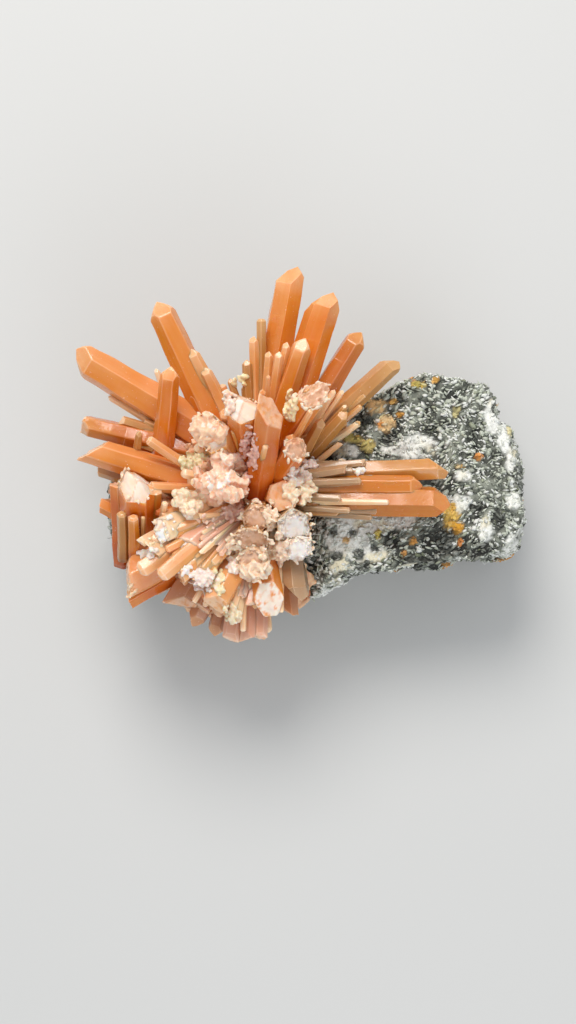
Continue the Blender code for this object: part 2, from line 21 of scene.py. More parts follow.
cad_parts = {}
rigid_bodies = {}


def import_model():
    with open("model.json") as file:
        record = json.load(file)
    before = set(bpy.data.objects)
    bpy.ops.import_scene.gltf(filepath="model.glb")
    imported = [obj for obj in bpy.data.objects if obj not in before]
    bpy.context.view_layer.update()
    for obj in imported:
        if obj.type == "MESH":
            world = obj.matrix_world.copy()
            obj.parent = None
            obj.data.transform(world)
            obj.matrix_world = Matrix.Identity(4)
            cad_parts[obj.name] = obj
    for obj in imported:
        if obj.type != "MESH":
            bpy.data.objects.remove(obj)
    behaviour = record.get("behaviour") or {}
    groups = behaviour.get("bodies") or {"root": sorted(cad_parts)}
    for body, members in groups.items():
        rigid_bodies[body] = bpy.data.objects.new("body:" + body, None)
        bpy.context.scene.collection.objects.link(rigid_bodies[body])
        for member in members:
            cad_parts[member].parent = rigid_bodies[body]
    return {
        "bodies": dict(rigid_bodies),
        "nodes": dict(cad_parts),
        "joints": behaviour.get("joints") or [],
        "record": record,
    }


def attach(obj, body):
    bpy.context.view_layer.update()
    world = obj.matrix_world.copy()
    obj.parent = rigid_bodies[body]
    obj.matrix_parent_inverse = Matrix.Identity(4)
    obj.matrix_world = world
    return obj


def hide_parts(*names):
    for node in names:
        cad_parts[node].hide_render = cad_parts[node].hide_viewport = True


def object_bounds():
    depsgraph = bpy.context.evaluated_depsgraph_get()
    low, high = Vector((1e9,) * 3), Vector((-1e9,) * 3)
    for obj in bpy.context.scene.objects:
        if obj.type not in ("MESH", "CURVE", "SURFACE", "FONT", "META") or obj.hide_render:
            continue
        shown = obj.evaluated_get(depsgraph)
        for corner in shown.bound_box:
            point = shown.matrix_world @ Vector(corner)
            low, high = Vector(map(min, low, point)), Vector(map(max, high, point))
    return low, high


MM = 0.001


def plain_box(box):
    return [[float(value) for value in corner] for corner in box]


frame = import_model()
cad_box = plain_box(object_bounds())

# Viewpoint and middle of the piece, as in the part
VIEW_DISTANCE = 400.0
VIEW_ELEVATION = math.radians(80.0)
VIEW_MIDDLE = (-1.7, -3.1)
FACE_LEVEL = 20.0
MIDDLE = (0.5, 4.73, 0.0)

# The photograph's frame
PIXELS_PER_MM = 7.0
PICTURE_ORIGIN = (300.0, 490.0)
PICTURE_SIZE = (576, 1024)
SENSOR = 36.0

# Ends of the crystals, as in the part
TIP_ANGLE = math.radians(52.0)
SLANT_ANGLE = math.radians(42.0)
BLUNT_ANGLE = math.radians(45.0)
CHIP_ANGLE = math.radians(48.0)
FACING_ANGLE = math.radians(32.0)
BREAK_ANGLES = (12.0, 30.0)
MINOR_FACE_SETBACK = 0.35
TIP_UNEVENNESS = 0.12
BREAK_DEPTH = 0.3
CHIP_DEPTH = 0.1
BLUNT_REACH = 0.5
SEED = 7

# Seat of the crystals on the rock, as in the part
ROCK_TOP = 20.0
ROCK_LUMP = (0.9, 0.2)
ROCK_GRIT = (0.6, 0.6)
SEAT_TOP = 17.6
SEAT_FALL = 5.5
SEAT_MIDDLE = (-6.0, -3.0)
SEAT_REACH = (22.0, 14.0)
SEAT_EDGE = (1.0, 5.0)
SEAT_DEEPEST = 1.5


def view_axes():
    forward = Vector((0.0, math.cos(VIEW_ELEVATION), -math.sin(VIEW_ELEVATION)))
    upward = Vector((0.0, math.sin(VIEW_ELEVATION), math.cos(VIEW_ELEVATION)))
    eye = Vector((*VIEW_MIDDLE, FACE_LEVEL)) - forward * VIEW_DISTANCE
    return eye, forward, upward


EYE, FORWARD, UPWARD = view_axes()


def sight_line(x, y):
    """The direction in which a place that looks to be at (x, y) is seen."""
    ray = FORWARD * VIEW_DISTANCE + UPWARD * (y - VIEW_MIDDLE[1])
    ray.x += x - VIEW_MIDDLE[0]
    return ray


def seen_mm(x, y, z):
    """The point at height z that looks to be at (x, y), in millimetres from the model's origin."""
    ray = sight_line(x, y)
    point = EYE + ray * ((z - EYE.z) / ray.z)
    return point - Vector(MIDDLE)


def seen(x, y, z):
    return seen_mm(x, y, z) * MM


def pixels_of(points):
    """Where points of the model, in metres, are in the photograph."""
    away = np.asarray(points) / MM + np.array(MIDDLE) - np.array(EYE)
    depth = away @ np.array(FORWARD)
    x = VIEW_MIDDLE[0] + away[:, 0] * VIEW_DISTANCE / depth
    y = VIEW_MIDDLE[1] + away @ np.array(UPWARD) * VIEW_DISTANCE / depth
    across = PICTURE_ORIGIN[0] + x * PIXELS_PER_MM
    down = PICTURE_ORIGIN[1] - y * PIXELS_PER_MM
    return np.stack((across, down), axis=1)


def linear(colour):
    """An everyday 0 to 255 colour as light."""
    share = np.asarray(colour, float) / 255.0
    return np.where(share <= 0.04045, share / 12.92, ((share + 0.055) / 1.055) ** 2.4)


def smooth(low, high, value):
    share = np.clip((value - low) / (high - low), 0.0, 1.0)
    return share * share * (3.0 - 2.0 * share)


def mix(first, second, share):
    return first + (second - first) * share


# The way that faces look which get a painted pinkish sheen: the side that the key lamp lights
SHEEN_LIT_SIDE = Vector((-0.25, 0.8, 0.5)).normalized()


class Look:
    """A crystal's colours (root, body, tip, painted edge highlight), clearness at both ends and painted
    sheen.
    """

    def __init__(self, root, body, tip, rim, clear=(0.0, 0.0), root_reach=0.4, tip_start=0.72, frost=0.0,
                 painted_sheen=1.0):
        self.root, self.body, self.tip, self.rim = (linear(c) for c in (root, body, tip, rim))
        self.clear = clear
        self.root_reach = root_reach
        self.tip_start = tip_start
        self.frost = frost
        self.painted_sheen = painted_sheen


LOOKS = {
    "orange": Look((196, 90, 8), (220, 134, 26), (240, 174, 116), (246, 208, 174), tip_start=0.78,
                   painted_sheen=0.9),
    "deep": Look((180, 72, 2), (210, 106, 4), (228, 142, 62), (242, 192, 150), painted_sheen=0.5),
    "saturated": Look((200, 88, 2), (222, 124, 2), (240, 168, 98), (246, 206, 168), tip_start=0.8,
                      painted_sheen=0.4),
    "dusky": Look((176, 84, 6), (198, 108, 4), (212, 138, 46), (240, 192, 150), painted_sheen=0.2),
    "peach": Look((208, 124, 52), (228, 160, 90), (240, 188, 138), (248, 216, 188)),
    "tan": Look((172, 114, 50), (190, 134, 68), (210, 164, 106), (234, 198, 154), painted_sheen=0.4),
    "pale": Look((218, 160, 104), (238, 196, 148), (246, 214, 178), (250, 230, 210), frost=0.2),
    "cream": Look((228, 180, 126), (244, 216, 176), (250, 232, 206), (252, 242, 226), frost=0.3),
    "white": Look((226, 196, 168), (244, 228, 212), (250, 242, 234), (254, 250, 246), frost=0.5),
    "smoky": Look((160, 132, 94), (202, 142, 70), (218, 148, 62), (238, 196, 150), clear=(0.5, 0.05),
                  root_reach=0.62, painted_sheen=0.1),
    "amber": Look((164, 128, 86), (206, 124, 20), (222, 132, 22), (242, 194, 146), clear=(0.5, 0.05),
                  root_reach=0.5, painted_sheen=0.1),
    "glassy": Look((166, 138, 104), (198, 162, 122), (220, 180, 138), (240, 212, 178), clear=(0.5, 0.3),
                   root_reach=0.5, painted_sheen=0.3),
    "mauve": Look((186, 122, 98), (212, 156, 130), (234, 190, 164), (246, 218, 200)),
    # A darker, browner copy of the orange: painted shade for crystals that lie low, under the others
    "brown": Look((128, 74, 38), (176, 110, 66), (208, 152, 108), (228, 184, 144)),
}


class Piece:
    """A mesh that grows part by part, with the colour, frost, clearness and grain of every point."""

    def __init__(self, name):
        self.name = name
        self.points, self.triangles, self.tints = [], [], []
        self.frosts, self.clears, self.grains = [], [], []
        self.count = 0

    def add(self, points, triangles, tints, frosts, clears=0.0, grains=None):
        points = np.asarray(points, float)
        grains = points / MM if grains is None else grains
        self.points.append(points)
        self.triangles.append(np.asarray(triangles, int) + self.count)
        self.tints.append(np.broadcast_to(tints, (len(points), 3)))
        self.frosts.append(np.broadcast_to(frosts, len(points)))
        self.clears.append(np.broadcast_to(clears, len(points)))
        self.grains.append(np.broadcast_to(grains, (len(points), 3)))
        self.count += len(points)

    def arrays(self):
        return np.concatenate(self.points), np.concatenate(self.triangles)

    def build(self, material, slot, faces="even"):
        """Makes the piece's mesh. Its faces are "even" (flat up to rounded edges), "smooth" or "flat"."""
        points, triangles = self.arrays()
        points = np.clip(points, *np.array(cad_box))
        mesh = mesh_of(self.name, points, triangles)
        tints = np.concatenate(self.tints)
        tints = np.concatenate((tints, np.ones((len(tints), 1))), axis=1)
        store(mesh, "tint", "FLOAT_COLOR", "color", tints)
        store(mesh, "frost", "FLOAT", "value", np.concatenate(self.frosts))
        store(mesh, "clear", "FLOAT", "value", np.concatenate(self.clears))
        store(mesh, "grain", "FLOAT_VECTOR", "vector", np.concatenate(self.grains))
        if faces == "flat":
            mesh.polygons.foreach_set("use_smooth", np.zeros(len(triangles), bool))
        if faces == "even":
            mesh.normals_split_custom_set_from_vertices(area_normals(points, triangles))
        mesh.materials.append(material)
        obj = bpy.data.objects.new(self.name, mesh)
        bpy.context.scene.collection.objects.link(obj)
        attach(obj, "root")
        return obj


def mesh_of(name, points, triangles):
    mesh = bpy.data.meshes.new(name)
    mesh.vertices.add(len(points))
    mesh.vertices.foreach_set("co", np.asarray(points, np.float32).ravel())
    mesh.loops.add(len(triangles) * 3)
    mesh.loops.foreach_set("vertex_index", np.asarray(triangles, np.int32).ravel())
    mesh.polygons.add(len(triangles))
    mesh.polygons.foreach_set("loop_start", np.arange(0, len(triangles) * 3, 3, dtype=np.int32))
    mesh.update(calc_edges=True)
    mesh.polygons.foreach_set("use_smooth", np.ones(len(triangles), bool))
    return mesh


def arrays_of(bm):
    """The points and triangles of a triangulated bmesh, which is freed."""
    points = np.array([tuple(v.co) for v in bm.verts])
    triangles = np.array([[v.index for v in f.verts] for f in bm.faces])
    bm.free()
    return points, triangles


def store(mesh, name, kind, field, values):
    data = mesh.attributes.new(name, kind, "POINT").data
    data.foreach_set(field, np.asarray(values, np.float32).ravel())


def unit(vectors):
    return vectors / np.linalg.norm(vectors, axis=1, keepdims=True)


def area_normals(points, triangles):
    """Normals weighted by area, which keep a crystal's faces flat right up to its rounded edges."""
    corners = points[triangles]
    across = np.cross(corners[:, 1] - corners[:, 0], corners[:, 2] - corners[:, 0]) / MM**2
    normals = np.zeros_like(points)
    for corner in range(3):
        np.add.at(normals, triangles[:, corner], across)
    lengths = np.linalg.norm(normals, axis=1, keepdims=True)
    return normals / np.maximum(lengths, 1e-12)


# Crystals

# Rounded edges in millimetres: the least, more for each millimetre of width, and the most
EDGE_WIDTH = (0.05, 0.045, 0.26)
# Rings along a crystal: their spacing, and the fewest and most of them
RING_SPACING = 0.6
RING_COUNTS = (4, 40)
# Growth steps: where along the crystal, how deep, and over what length
STEP_PLACES = (0.25, 0.95)
STEP_DEPTHS = (0.02, 0.06)
STEP_SPAN = 0.07
# How much a crystal may bend, as a share of its length
MOST_BOW = 0.012
# The last stretch of a crystal with a frayed end, in millimetres, and the rings along it
FRAYED_REACH = 1.4
FRAYED_RINGS = (0.15, 0.3, 0.45, 0.6, 0.8, 1.0)
# Unevenness of a crystal's sides: a share for each millimetre of its radius, and its ripple
SIDE_SWELL = (0.03, 0.04, 1.3)
SIDE_RIPPLE = 0.014


def cut(bm, point, normal):
    found = bmesh.ops.bisect_plane(
        bm,
        geom=bm.verts[:] + bm.edges[:] + bm.faces[:],
        dist=1e-5,
        plane_co=point,
        plane_no=normal,
        clear_outer=True,
    )["geom_cut"]
    edges = [item for item in found if isinstance(item, bmesh.types.BMEdge)]
    if len(edges) > 2:
        bmesh.ops.contextual_create(bm, geom=edges)


def split(bm, geometry, point, normal):
    bmesh.ops.bisect_plane(bm, geom=geometry, dist=1e-4, plane_co=point, plane_no=normal)


def sloping(direction, angle):
    return direction * math.sin(angle) + Vector((0.0, 0.0, math.cos(angle)))


def end_planes(end, sides, length, radius, lean, rng):
    """The flat faces that close a crystal's free end, as (point, normal), the same as in the part."""
    apex = Vector((-lean[0] * radius, lean[1] * radius, length))
    along = Vector((0.0, 0.0, 1.0))
    if end == "six":
        for number, side in enumerate(sides):
            setback = MINOR_FACE_SETBACK * (number % 2) + rng.uniform(0.0, TIP_UNEVENNESS)
            yield apex + along * (setback * radius), sloping(side, TIP_ANGLE)
    elif end == "broken":
        slope = math.radians(rng.uniform(*BREAK_ANGLES))
        side = sides[rng.randrange(6)]
        yield along * (length - BREAK_DEPTH * radius), sloping(side, slope)
    elif end == "facing":
        yield along * length, sloping(Vector((0.0, 1.0, 0.0)), FACING_ANGLE)
    elif end == "blunt":
        for side in sides:
            yield side * (BLUNT_REACH * radius) + along * length, sloping(side, BLUNT_ANGLE)
        yield along * length, along
    elif end == "slant":
        towards = Vector((-lean[0], lean[1], 0.0)).normalized()
        yield towards * radius + along * length, sloping(-towards, SLANT_ANGLE)
    if end in ("broken", "facing"):
        chip = sides[rng.randrange(6)]
        yield along * (length + CHIP_DEPTH * radius), sloping(chip, CHIP_ANGLE)


def column(widths, length, turned, flat, end, lean, rng):
    """A six-sided crystal in millimetres on the origin, the way each side looks, and its end's planes."""
    radius = widths[1] / 2
    past_tip = 1.0 + 2.0 * radius / length
    bm = bmesh.new()
    bmesh.ops.create_cone(
        bm,
        cap_ends=True,
        segments=6,
        radius1=widths[0] / 2,
        radius2=radius,
        depth=length * past_tip,
        matrix=Matrix.Rotation(turned, 4, "Z") @ Matrix.Translation((0.0, 0.0, length * past_tip / 2)),
    )
    bm.normal_update()
    sides = [Vector((*f.normal.xy, 0.0)).normalized() for f in bm.faces if abs(f.normal.z) < 0.7]
    sides.sort(key=lambda side: math.atan2(side.y, side.x))
    planes = list(end_planes(end, sides, length, radius, lean, rng))
    for point, normal in planes:
        cut(bm, point, normal)
    bmesh.ops.scale(bm, vec=(1.0, flat, 1.0), verts=bm.verts)
    return bm, sides, planes


def soften(bm, width):
    """Rounds every edge but those of the root, and marks the middle of each rounded edge."""
    edges = [e for e in bm.edges if max(v.co.z for v in e.verts) > 0.01]
    rounded = bmesh.ops.bevel(
        bm,
        geom=edges,
        offset=width,
        offset_type="OFFSET",
        segments=2,
        profile=0.5,
        affect="EDGES",
        clamp_overlap=True,
    )["faces"]
    rounded = set(rounded)
    layer = bm.verts.layers.float.new("edge")
    for vertex in bm.verts:
        vertex[layer] = float(all(face in rounded for face in vertex.link_faces))
    return layer


def divide_end(bm, spacing, reach):
    """Splits the faces of the free end into a fine grid, so that they can be uneven."""
    bm.normal_update()
    for axis in (Vector((1.0, 0.0, 0.0)), Vector((0.0, 1.0, 0.0))):
        steps = int(reach / spacing)
        for step in range(-steps, steps + 1):
            faces = [f for f in bm.faces if f.normal.z > 0.3 and f.calc_center_median().z > 0.2]
            edges = {e for f in faces for e in f.edges}
            verts = {v for f in faces for v in f.verts}
            split(bm, list(verts) + list(edges) + faces, axis * (step * spacing + 0.03), axis)


# How uneven each kind of end is, in millimetres, how pale it is, how fine its grid is, and its two colours
ENDS = {
    "clean": (0.012, 0.15, 0.0, (250, 204, 160), (250, 204, 160)),
    "chipped": (0.09, 0.5, 0.3, (252, 226, 200), (240, 172, 110)),
    "mottled": (0.06, 0.85, 0.22, (255, 248, 240), (240, 160, 92)),
    "planes": (0.03, 1.0, 0.19, (255, 250, 246), (250, 222, 198)),
    "rim": (0.07, 0.85, 0.18, (222, 180, 152), (194, 144, 112)),
    "frosty": (0.06, 0.95, 0.18, (246, 240, 236), (206, 174, 152)),
}
RIM = linear((250, 234, 212))
# Colour of the painted sheen on faces turned towards the key lamp
PAINTED_SHEEN_COLOUR = linear((242, 178, 144))
CRACK = linear((214, 150, 104))
# How much rounded edges are lightened towards the look's edge colour: a painted highlight where edges catch
# the light
EDGE_HIGHLIGHT = 0.3
# Crystals with a fringe of small ones round the end, and how many to each millimetre of it
FRINGES = []
FRINGED = {"rim": 2.2, "frosty": 1.6, "planes": 0.7}


class Cap:
    """The uneven free end of one crystal: how far each of its points rises, and its colour."""

    def __init__(self, kind, radius, sides, offset, fine):
        self.kind, self.radius, self.sides, self.offset = kind, radius, sides, offset
        self.unevenness, self.paleness, self.grid, colour, shade = ENDS[kind]
        self.colour, self.shade = linear(colour), linear(shade)
        turns = [fine.uniform(-0.4, 0.4) + 2.0 * math.pi * number / 5 for number in range(5)]
        self.planes = [(Vector((math.cos(turn), math.sin(turn))) * fine.uniform(0.15, 0.55),
                        fine.uniform(0.0, 0.3), fine.uniform(0.0, 1.0)) for turn in turns]

    def outward(self, place):
        """How far out a point of the end is, from 0 in the middle to 1 at the crystal's sides."""
        return max(place.xy.dot(side.xy) for side in self.sides) / (0.866 * self.radius)

    def at(self, place, capped):
        """The rise in millimetres and the colour at a point of the end."""
        rough = noise.noise(place * 1.9 + self.offset) + 0.6 * noise.noise(place * 4.5 + self.offset)
        patchy = noise.noise(place * 1.3 + self.offset) + 0.5 * noise.noise(place * 3.1 + self.offset)
        rise = self.unevenness * rough * 1.6
        colour = mix(self.colour, self.shade, float(smooth(0.0, 0.5, -patchy)))
        if self.kind == "planes":
            lowest, second = sorted((shift * self.radius - place.xy.dot(slope), tone)
                                    for slope, shift, tone in self.planes)[:2]
            rise += lowest[0] - 0.1 * self.radius
            colour = mix(self.colour, self.shade, min(1.0, 0.8 * lowest[1] + 0.25 * max(0.0, -patchy)))
            colour = mix(CRACK, colour, float(smooth(0.0, 0.12, second[0] - lowest[0])) * 0.6 + 0.4)
        elif self.kind in ("rim", "frosty"):
            out = self.outward(place) + 0.4 * rough
            rim = float(smooth(0.66, 0.98, out))
            rise += self.radius * (0.16 * rim - 0.08)
            veil = float(smooth(0.75, 0.2, out)) if self.kind == "frosty" else 0.0
            shown = 0.8 * rim * float(smooth(-0.5, 0.3, patchy))
            colour = mix(mix(colour, RIM, shown), self.colour, veil)
        return rise * capped, colour


class Growth:
    """The surface of one crystal in its own frame: where each of its points goes, and its colour there."""

    def __init__(self, frame, length, widths, sides, look, kind, stretch, fine):
        self.frame, self.length, self.sides = frame, length, sides
        self.look, self.stretch = look, stretch
        self.radius = widths[1] / 2
        self.frays = kind in FRINGED
        self.offset = Vector([fine.uniform(-50.0, 50.0) for _ in range(3)])
        self.cap = Cap(kind, self.radius, sides, self.offset, fine)
        self.steps = [(fine.uniform(*STEP_PLACES) * length, fine.randrange(6), fine.uniform(*STEP_DEPTHS))
                      for _ in range(int(1 + widths[1]))]
        self.bow = fine.uniform(-MOST_BOW, MOST_BOW) * length

    def divide(self, bm):
        """Splits the crystal finely: its end into a grid, and its sides into rings."""
        if self.cap.grid:
            divide_end(bm, self.cap.grid, self.radius * 1.1)
        count = max(RING_COUNTS[0], min(RING_COUNTS[1], int(self.length / RING_SPACING)))
        rings = [self.length * share for share in np.linspace(0.0, 1.05, count)[1:]]
        if self.frays:
            rings += [self.length - FRAYED_REACH * share for share in FRAYED_RINGS]
        for height, _, _ in self.steps:
            rings += [height, height + STEP_SPAN]
        for height in rings:
            split(bm, bm.verts[:] + bm.edges[:] + bm.faces[:], (0.0, 0.0, height), (0.0, 0.0, 1.0))
        bmesh.ops.triangulate(bm, faces=bm.faces)
        bm.normal_update()

    def noise_at(self, place, across, along, offset=None):
        stretched = Vector((place.x * across, place.y * across, place.z * along))
        return noise.noise(stretched + (offset or self.offset))

    def frayed_at(self, vertex, capped):
        if not self.frays:
            return 0.0
        return float(smooth(FRAYED_REACH, 0.2, self.length - vertex.co.z)) * (1.0 - capped)

    def placed(self, vertex, frayed, rise):
        """Where a point of the crystal goes, with the unevenness of its sides and end."""
        start, flesh, radius = vertex.co, vertex.normal.copy(), self.radius
        place = start.copy()
        swell = (SIDE_SWELL[0] + SIDE_SWELL[1] * radius) * self.noise_at(place, 0.6, 0.3) * SIDE_SWELL[2]
        place += flesh * (swell + SIDE_RIPPLE * self.noise_at(place, 1.5, 2.4))
        for height, number, depth in self.steps:
            if start.z > height + 0.03 and start.xy.dot(self.sides[number].xy) > 0.45 * radius:
                place -= self.sides[number] * depth
        if self.frays:
            lobes = noise.noise(start * 1.1 + self.offset) + 0.7 * noise.noise(start * 2.6 + self.offset)
            place += flesh * (frayed * 0.2 * radius * lobes)
        place.z += rise
        share = start.z / self.length
        place.x += self.bow * share * (1.0 - share) * 2.0
        return place

    def coloured(self, vertex, place, capped, frayed, edge, end_colour):
        """The colour, frost and clearness at a point."""
        look, share = self.look, vertex.co.z / self.length
        edge *= float(share < 1.3)
        cloud = self.noise_at(place, 0.5, 0.22, self.offset * 0.3)
        whole = mix(*self.stretch, share)
        tint = mix(look.root, look.body, float(smooth(0.0, look.root_reach, whole + 0.12 * cloud)))
        tint = mix(tint, look.tip, float(smooth(look.tip_start, 1.02, whole + 0.16 * cloud)) * 0.9)
        tint = mix(tint, look.tip, 0.3 * float(smooth(0.0, 0.6, cloud)))
        # Painted sheen: faces turned towards the key lamp are made pinker and paler
        facing = (self.frame.to_3x3() @ vertex.normal).dot(SHEEN_LIT_SIDE)
        painted_sheen = 0.32 * float(smooth(0.1, 0.95, facing)) * (1.0 - capped)
        tint = mix(tint, PAINTED_SHEEN_COLOUR, painted_sheen * look.painted_sheen)
        pale = capped * self.cap.paleness
        tint = mix(tint, end_colour, pale)
        tint = mix(tint, RIM, 0.5 * frayed)
        # Painted highlight: the rounded edges are lightened, more so near the tip
        edge_highlight = EDGE_HIGHLIGHT + 0.45 * float(smooth(0.84, 1.0, whole))
        tint = mix(tint, look.rim, edge_highlight * edge * (1.0 - pale))
        frost = min(1.0, look.frost + 0.15 * edge + 0.4 * pale + 0.3 * frayed)
        clear = mix(*look.clear, float(smooth(0.0, 0.7, whole))) * (1.0 - frost)
        return tint, frost, clear


def grow(piece, name, frame, length, widths, turned, end, look, flat=1.0, lean=(0.0, 0.0), kind="clean",
         rng=None, shift=((0.0, 0.0), (0.0, 0.0)), stretch=(0.0, 1.0)):
    """Adds one crystal. shift moves its root and tip sideways, for one that grew on another's side."""
    fine = random.Random(f"fine {name}")
    bm, sides, planes = column(widths, length, turned, flat, end, lean, rng or fine)
    if kind in FRINGED:
        FRINGES.append((frame, widths[1] / 2, flat, planes, FRINGED[kind]))
    layer = soften(bm, min(EDGE_WIDTH[2], EDGE_WIDTH[0] + EDGE_WIDTH[1] * widths[1]))
    growth = Growth(frame, length, widths, sides, look, kind, stretch, fine)
    growth.divide(bm)
    points, looks, grains = [], [], []
    for vertex in bm.verts:
        capped = float(smooth(0.3, 0.55, vertex.normal.z)) * float(vertex.co.z / length > 0.5)
        frayed = growth.frayed_at(vertex, capped)
        rise, end_colour = growth.cap.at(vertex.co, capped)
        place = growth.placed(vertex, frayed, rise)
        looks.append(growth.coloured(vertex, place, capped, frayed, vertex[layer], end_colour))
        share = place.z / length
        place.x += mix(shift[0][0], shift[1][0], share)
        place.y += mix(shift[0][1], shift[1][1], share)
        points.append(tuple(frame @ (place * MM)))
        grains.append(tuple(vertex.co + growth.offset))
    triangles = [[v.index for v in f.verts] for f in bm.faces]
    bm.free()
    piece.add(points, triangles, *zip(*looks), grains)


OVERGROWTHS = Piece("overgrowths")


def crystal_frame(foot, head):
    """A frame on a crystal's root: along it, and its second axis as far towards the viewer as it can be."""
    axis = (head - foot).normalized()
    towards_viewer = Vector((0.0, -math.cos(VIEW_ELEVATION), math.sin(VIEW_ELEVATION)))
    if abs(axis.dot(towards_viewer)) > 0.97:
        towards_viewer = Vector((0.0, 1.0, 0.0))
    front = (towards_viewer - axis * towards_viewer.dot(axis)).normalized()
    placing = Matrix((front.cross(axis), front, axis)).transposed().to_4x4()
    placing.translation = foot
    return placing


def crystal(piece, name, root, tip, widths, end, look, flat=1.0, turn=None, lean=(0.0, 0.0), cap="",
            side_crystals=None):
    """A crystal from its root to its tip, both as seen, with slimmer ones grown along its sides."""
    rng = random.Random(f"{SEED} {name}")
    foot, head = seen(*root), seen(*tip)
    length = (head - foot).length / MM
    turned = math.radians(rng.uniform(0.0, 60.0) if turn is None else turn)
    placing = crystal_frame(foot, head)
    colours = LOOKS[look]
    cap = cap or {"broken": "chipped", "slant": "chipped", "facing": "planes"}.get(end, "clean")
    grow(piece, name, placing, length, widths, turned, end, colours, flat, lean, cap, rng)
    if side_crystals is None:
        side_crystals = 0 if widths[1] < 2.2 or length < 6.0 else 1 + int(length > 18.0)
    fine = random.Random(f"sides {name}")
    for number in range(side_crystals):
        reach = fine.uniform(0.3, 0.86)
        share = fine.uniform(0.26, 0.46)
        angle = turned + math.radians(30.0 + 60.0 * fine.randrange(6)) + fine.uniform(-0.2, 0.2)
        away = Vector((math.cos(angle), math.sin(angle) * flat))
        wide = mix(widths[0], widths[1], reach)
        near, far = (away * (0.866 * w / 2 - 0.866 * share * w / 2 + 0.07) for w in (widths[0], wide))
        side_end = fine.choice(("six", "six", "blunt"))
        slimmer = (widths[0] * share, wide * share)
        grow(OVERGROWTHS, f"{name} side {number}", placing, length * reach, slimmer, turned, side_end,
             colours, flat, shift=(near, far), stretch=(0.0, reach))


def bundle(fan, name, count, roots, tips, widths, looks):
    """Thin crystals side by side, from between two root places towards between two tip places."""
    rng = random.Random(f"{SEED} {name}")
    for number in range(count):
        share = (number + rng.uniform(0.0, 1.0)) / count
        root = Vector(roots[0]).lerp(Vector(roots[1]), share)
        tip = root.lerp(Vector(tips[0]).lerp(Vector(tips[1]), share), rng.uniform(0.5, 1.0))
        root += Vector((rng.uniform(-0.5, 0.5), rng.uniform(-0.5, 0.5), rng.uniform(-0.6, 0.2)))
        width = rng.uniform(*widths)
        end, look = rng.choice(("broken", "blunt", "broken", "six")), rng.choice(looks)
        crystal(fan, f"{name}_{number}", root, tip, (width * 1.2, width), end, look,
                flat=rng.uniform(0.45, 0.85), side_crystals=0)


def upper_fan(fan):
    """The long crystals that fan out behind the middle, from the left round to the right."""
    add = partial(crystal, fan)
    add("broad_left", (-8.6, 4.9, 21.0), (-32.4, 19.6, 24.5), (6.6, 4.4), "six", "orange", turn=12,
        lean=(0.35, 0.0))
    add("broad_left_sliver", (-14.0, 5.6, 21.5), (-27.4, 13.4, 22.4), (1.8, 0.8), "six", "pale")
    add("upper_left", (-10.7, 6.0, 21.0), (-20.5, 27.0, 27.0), (5.2, 3.8), "six", "orange", turn=40)
    add("upper_left_side", (-9.8, 8.2, 21.5), (-15.6, 20.2, 26.4), (3.4, 1.7), "six", "peach")
    add("upper_left_step", (-9.2, 8.2, 21.8), (-13.9, 17.6, 26.0), (3.2, 1.6), "six", "peach")
    add("upper_left_chip", (-18.6, 12.6, 22.0), (-20.6, 17.4, 23.8), (1.3, 0.8), "six", "cream")
    add("tall_spire", (-6.0, 5.7, 21.0), (-1.1, 32.1, 27.0), (5.4, 4.3), "six", "orange", turn=5,
        lean=(0.35, 0.1))
    add("second_spire", (-3.4, 5.4, 21.5), (4.1, 28.4, 29.5), (5.6, 4.6), "six", "saturated", turn=25,
        lean=(0.3, 0.2))
    add("third_spire", (0.0, 8.4, 21.5), (8.8, 22.6, 26.5), (4.4, 3.1), "six", "dusky", turn=10)
    add("tan_spire", (0.1, 6.3, 22.0), (13.9, 18.7, 24.5), (3.4, 2.8), "six", "tan", turn=33,
        lean=(0.3, 0.0))
    add("between_spires", (-3.9, 7.6, 23.5), (0.8, 21.7, 31.5), (3.6, 2.8), "six", "orange", turn=18)
    add("slim_spire_a", (-4.0, 10.5, 24.5), (-1.8, 21.2, 30.6), (1.9, 1.3), "six", "peach")
    add("slim_spire_b", (-4.4, 10.0, 25.0), (-2.9, 19.8, 30.6), (1.8, 1.3), "six", "peach")
    add("slim_spire_c", (-5.0, 10.0, 24.5), (-4.4, 19.9, 29.6), (1.9, 1.3), "six", "peach")
    add("left_needle_a", (-5.4, 9.0, 23.5), (-5.5, 24.5, 28.0), (2.2, 1.4), "blunt", "tan")
    add("left_needle_b", (-6.3, 9.0, 23.5), (-6.6, 22.0, 27.6), (2.2, 1.4), "six", "peach")
    add("left_needle_c", (-7.0, 9.0, 23.5), (-7.6, 18.7, 27.2), (2.1, 1.3), "six", "tan")
    add("front_needle", (-5.3, 7.0, 24.0), (-4.5, 16.5, 31.6), (1.1, 0.7), "six", "peach")
    bundle(fan, "upper_thin", 7, ((-9.8, 7.6, 22.4), (-7.0, 8.8, 22.8)),
           ((-13.8, 15.0, 24.6), (-8.2, 17.0, 26.0)), (0.7, 1.4), ("tan", "peach", "orange"))
    bundle(fan, "upper_right_thin", 9, ((0.4, 6.6, 22.2), (1.4, 3.8, 22.4)),
           ((9.6, 15.6, 25.0), (9.0, 8.6, 25.0)), (0.7, 1.4), ("tan", "pale", "peach"))


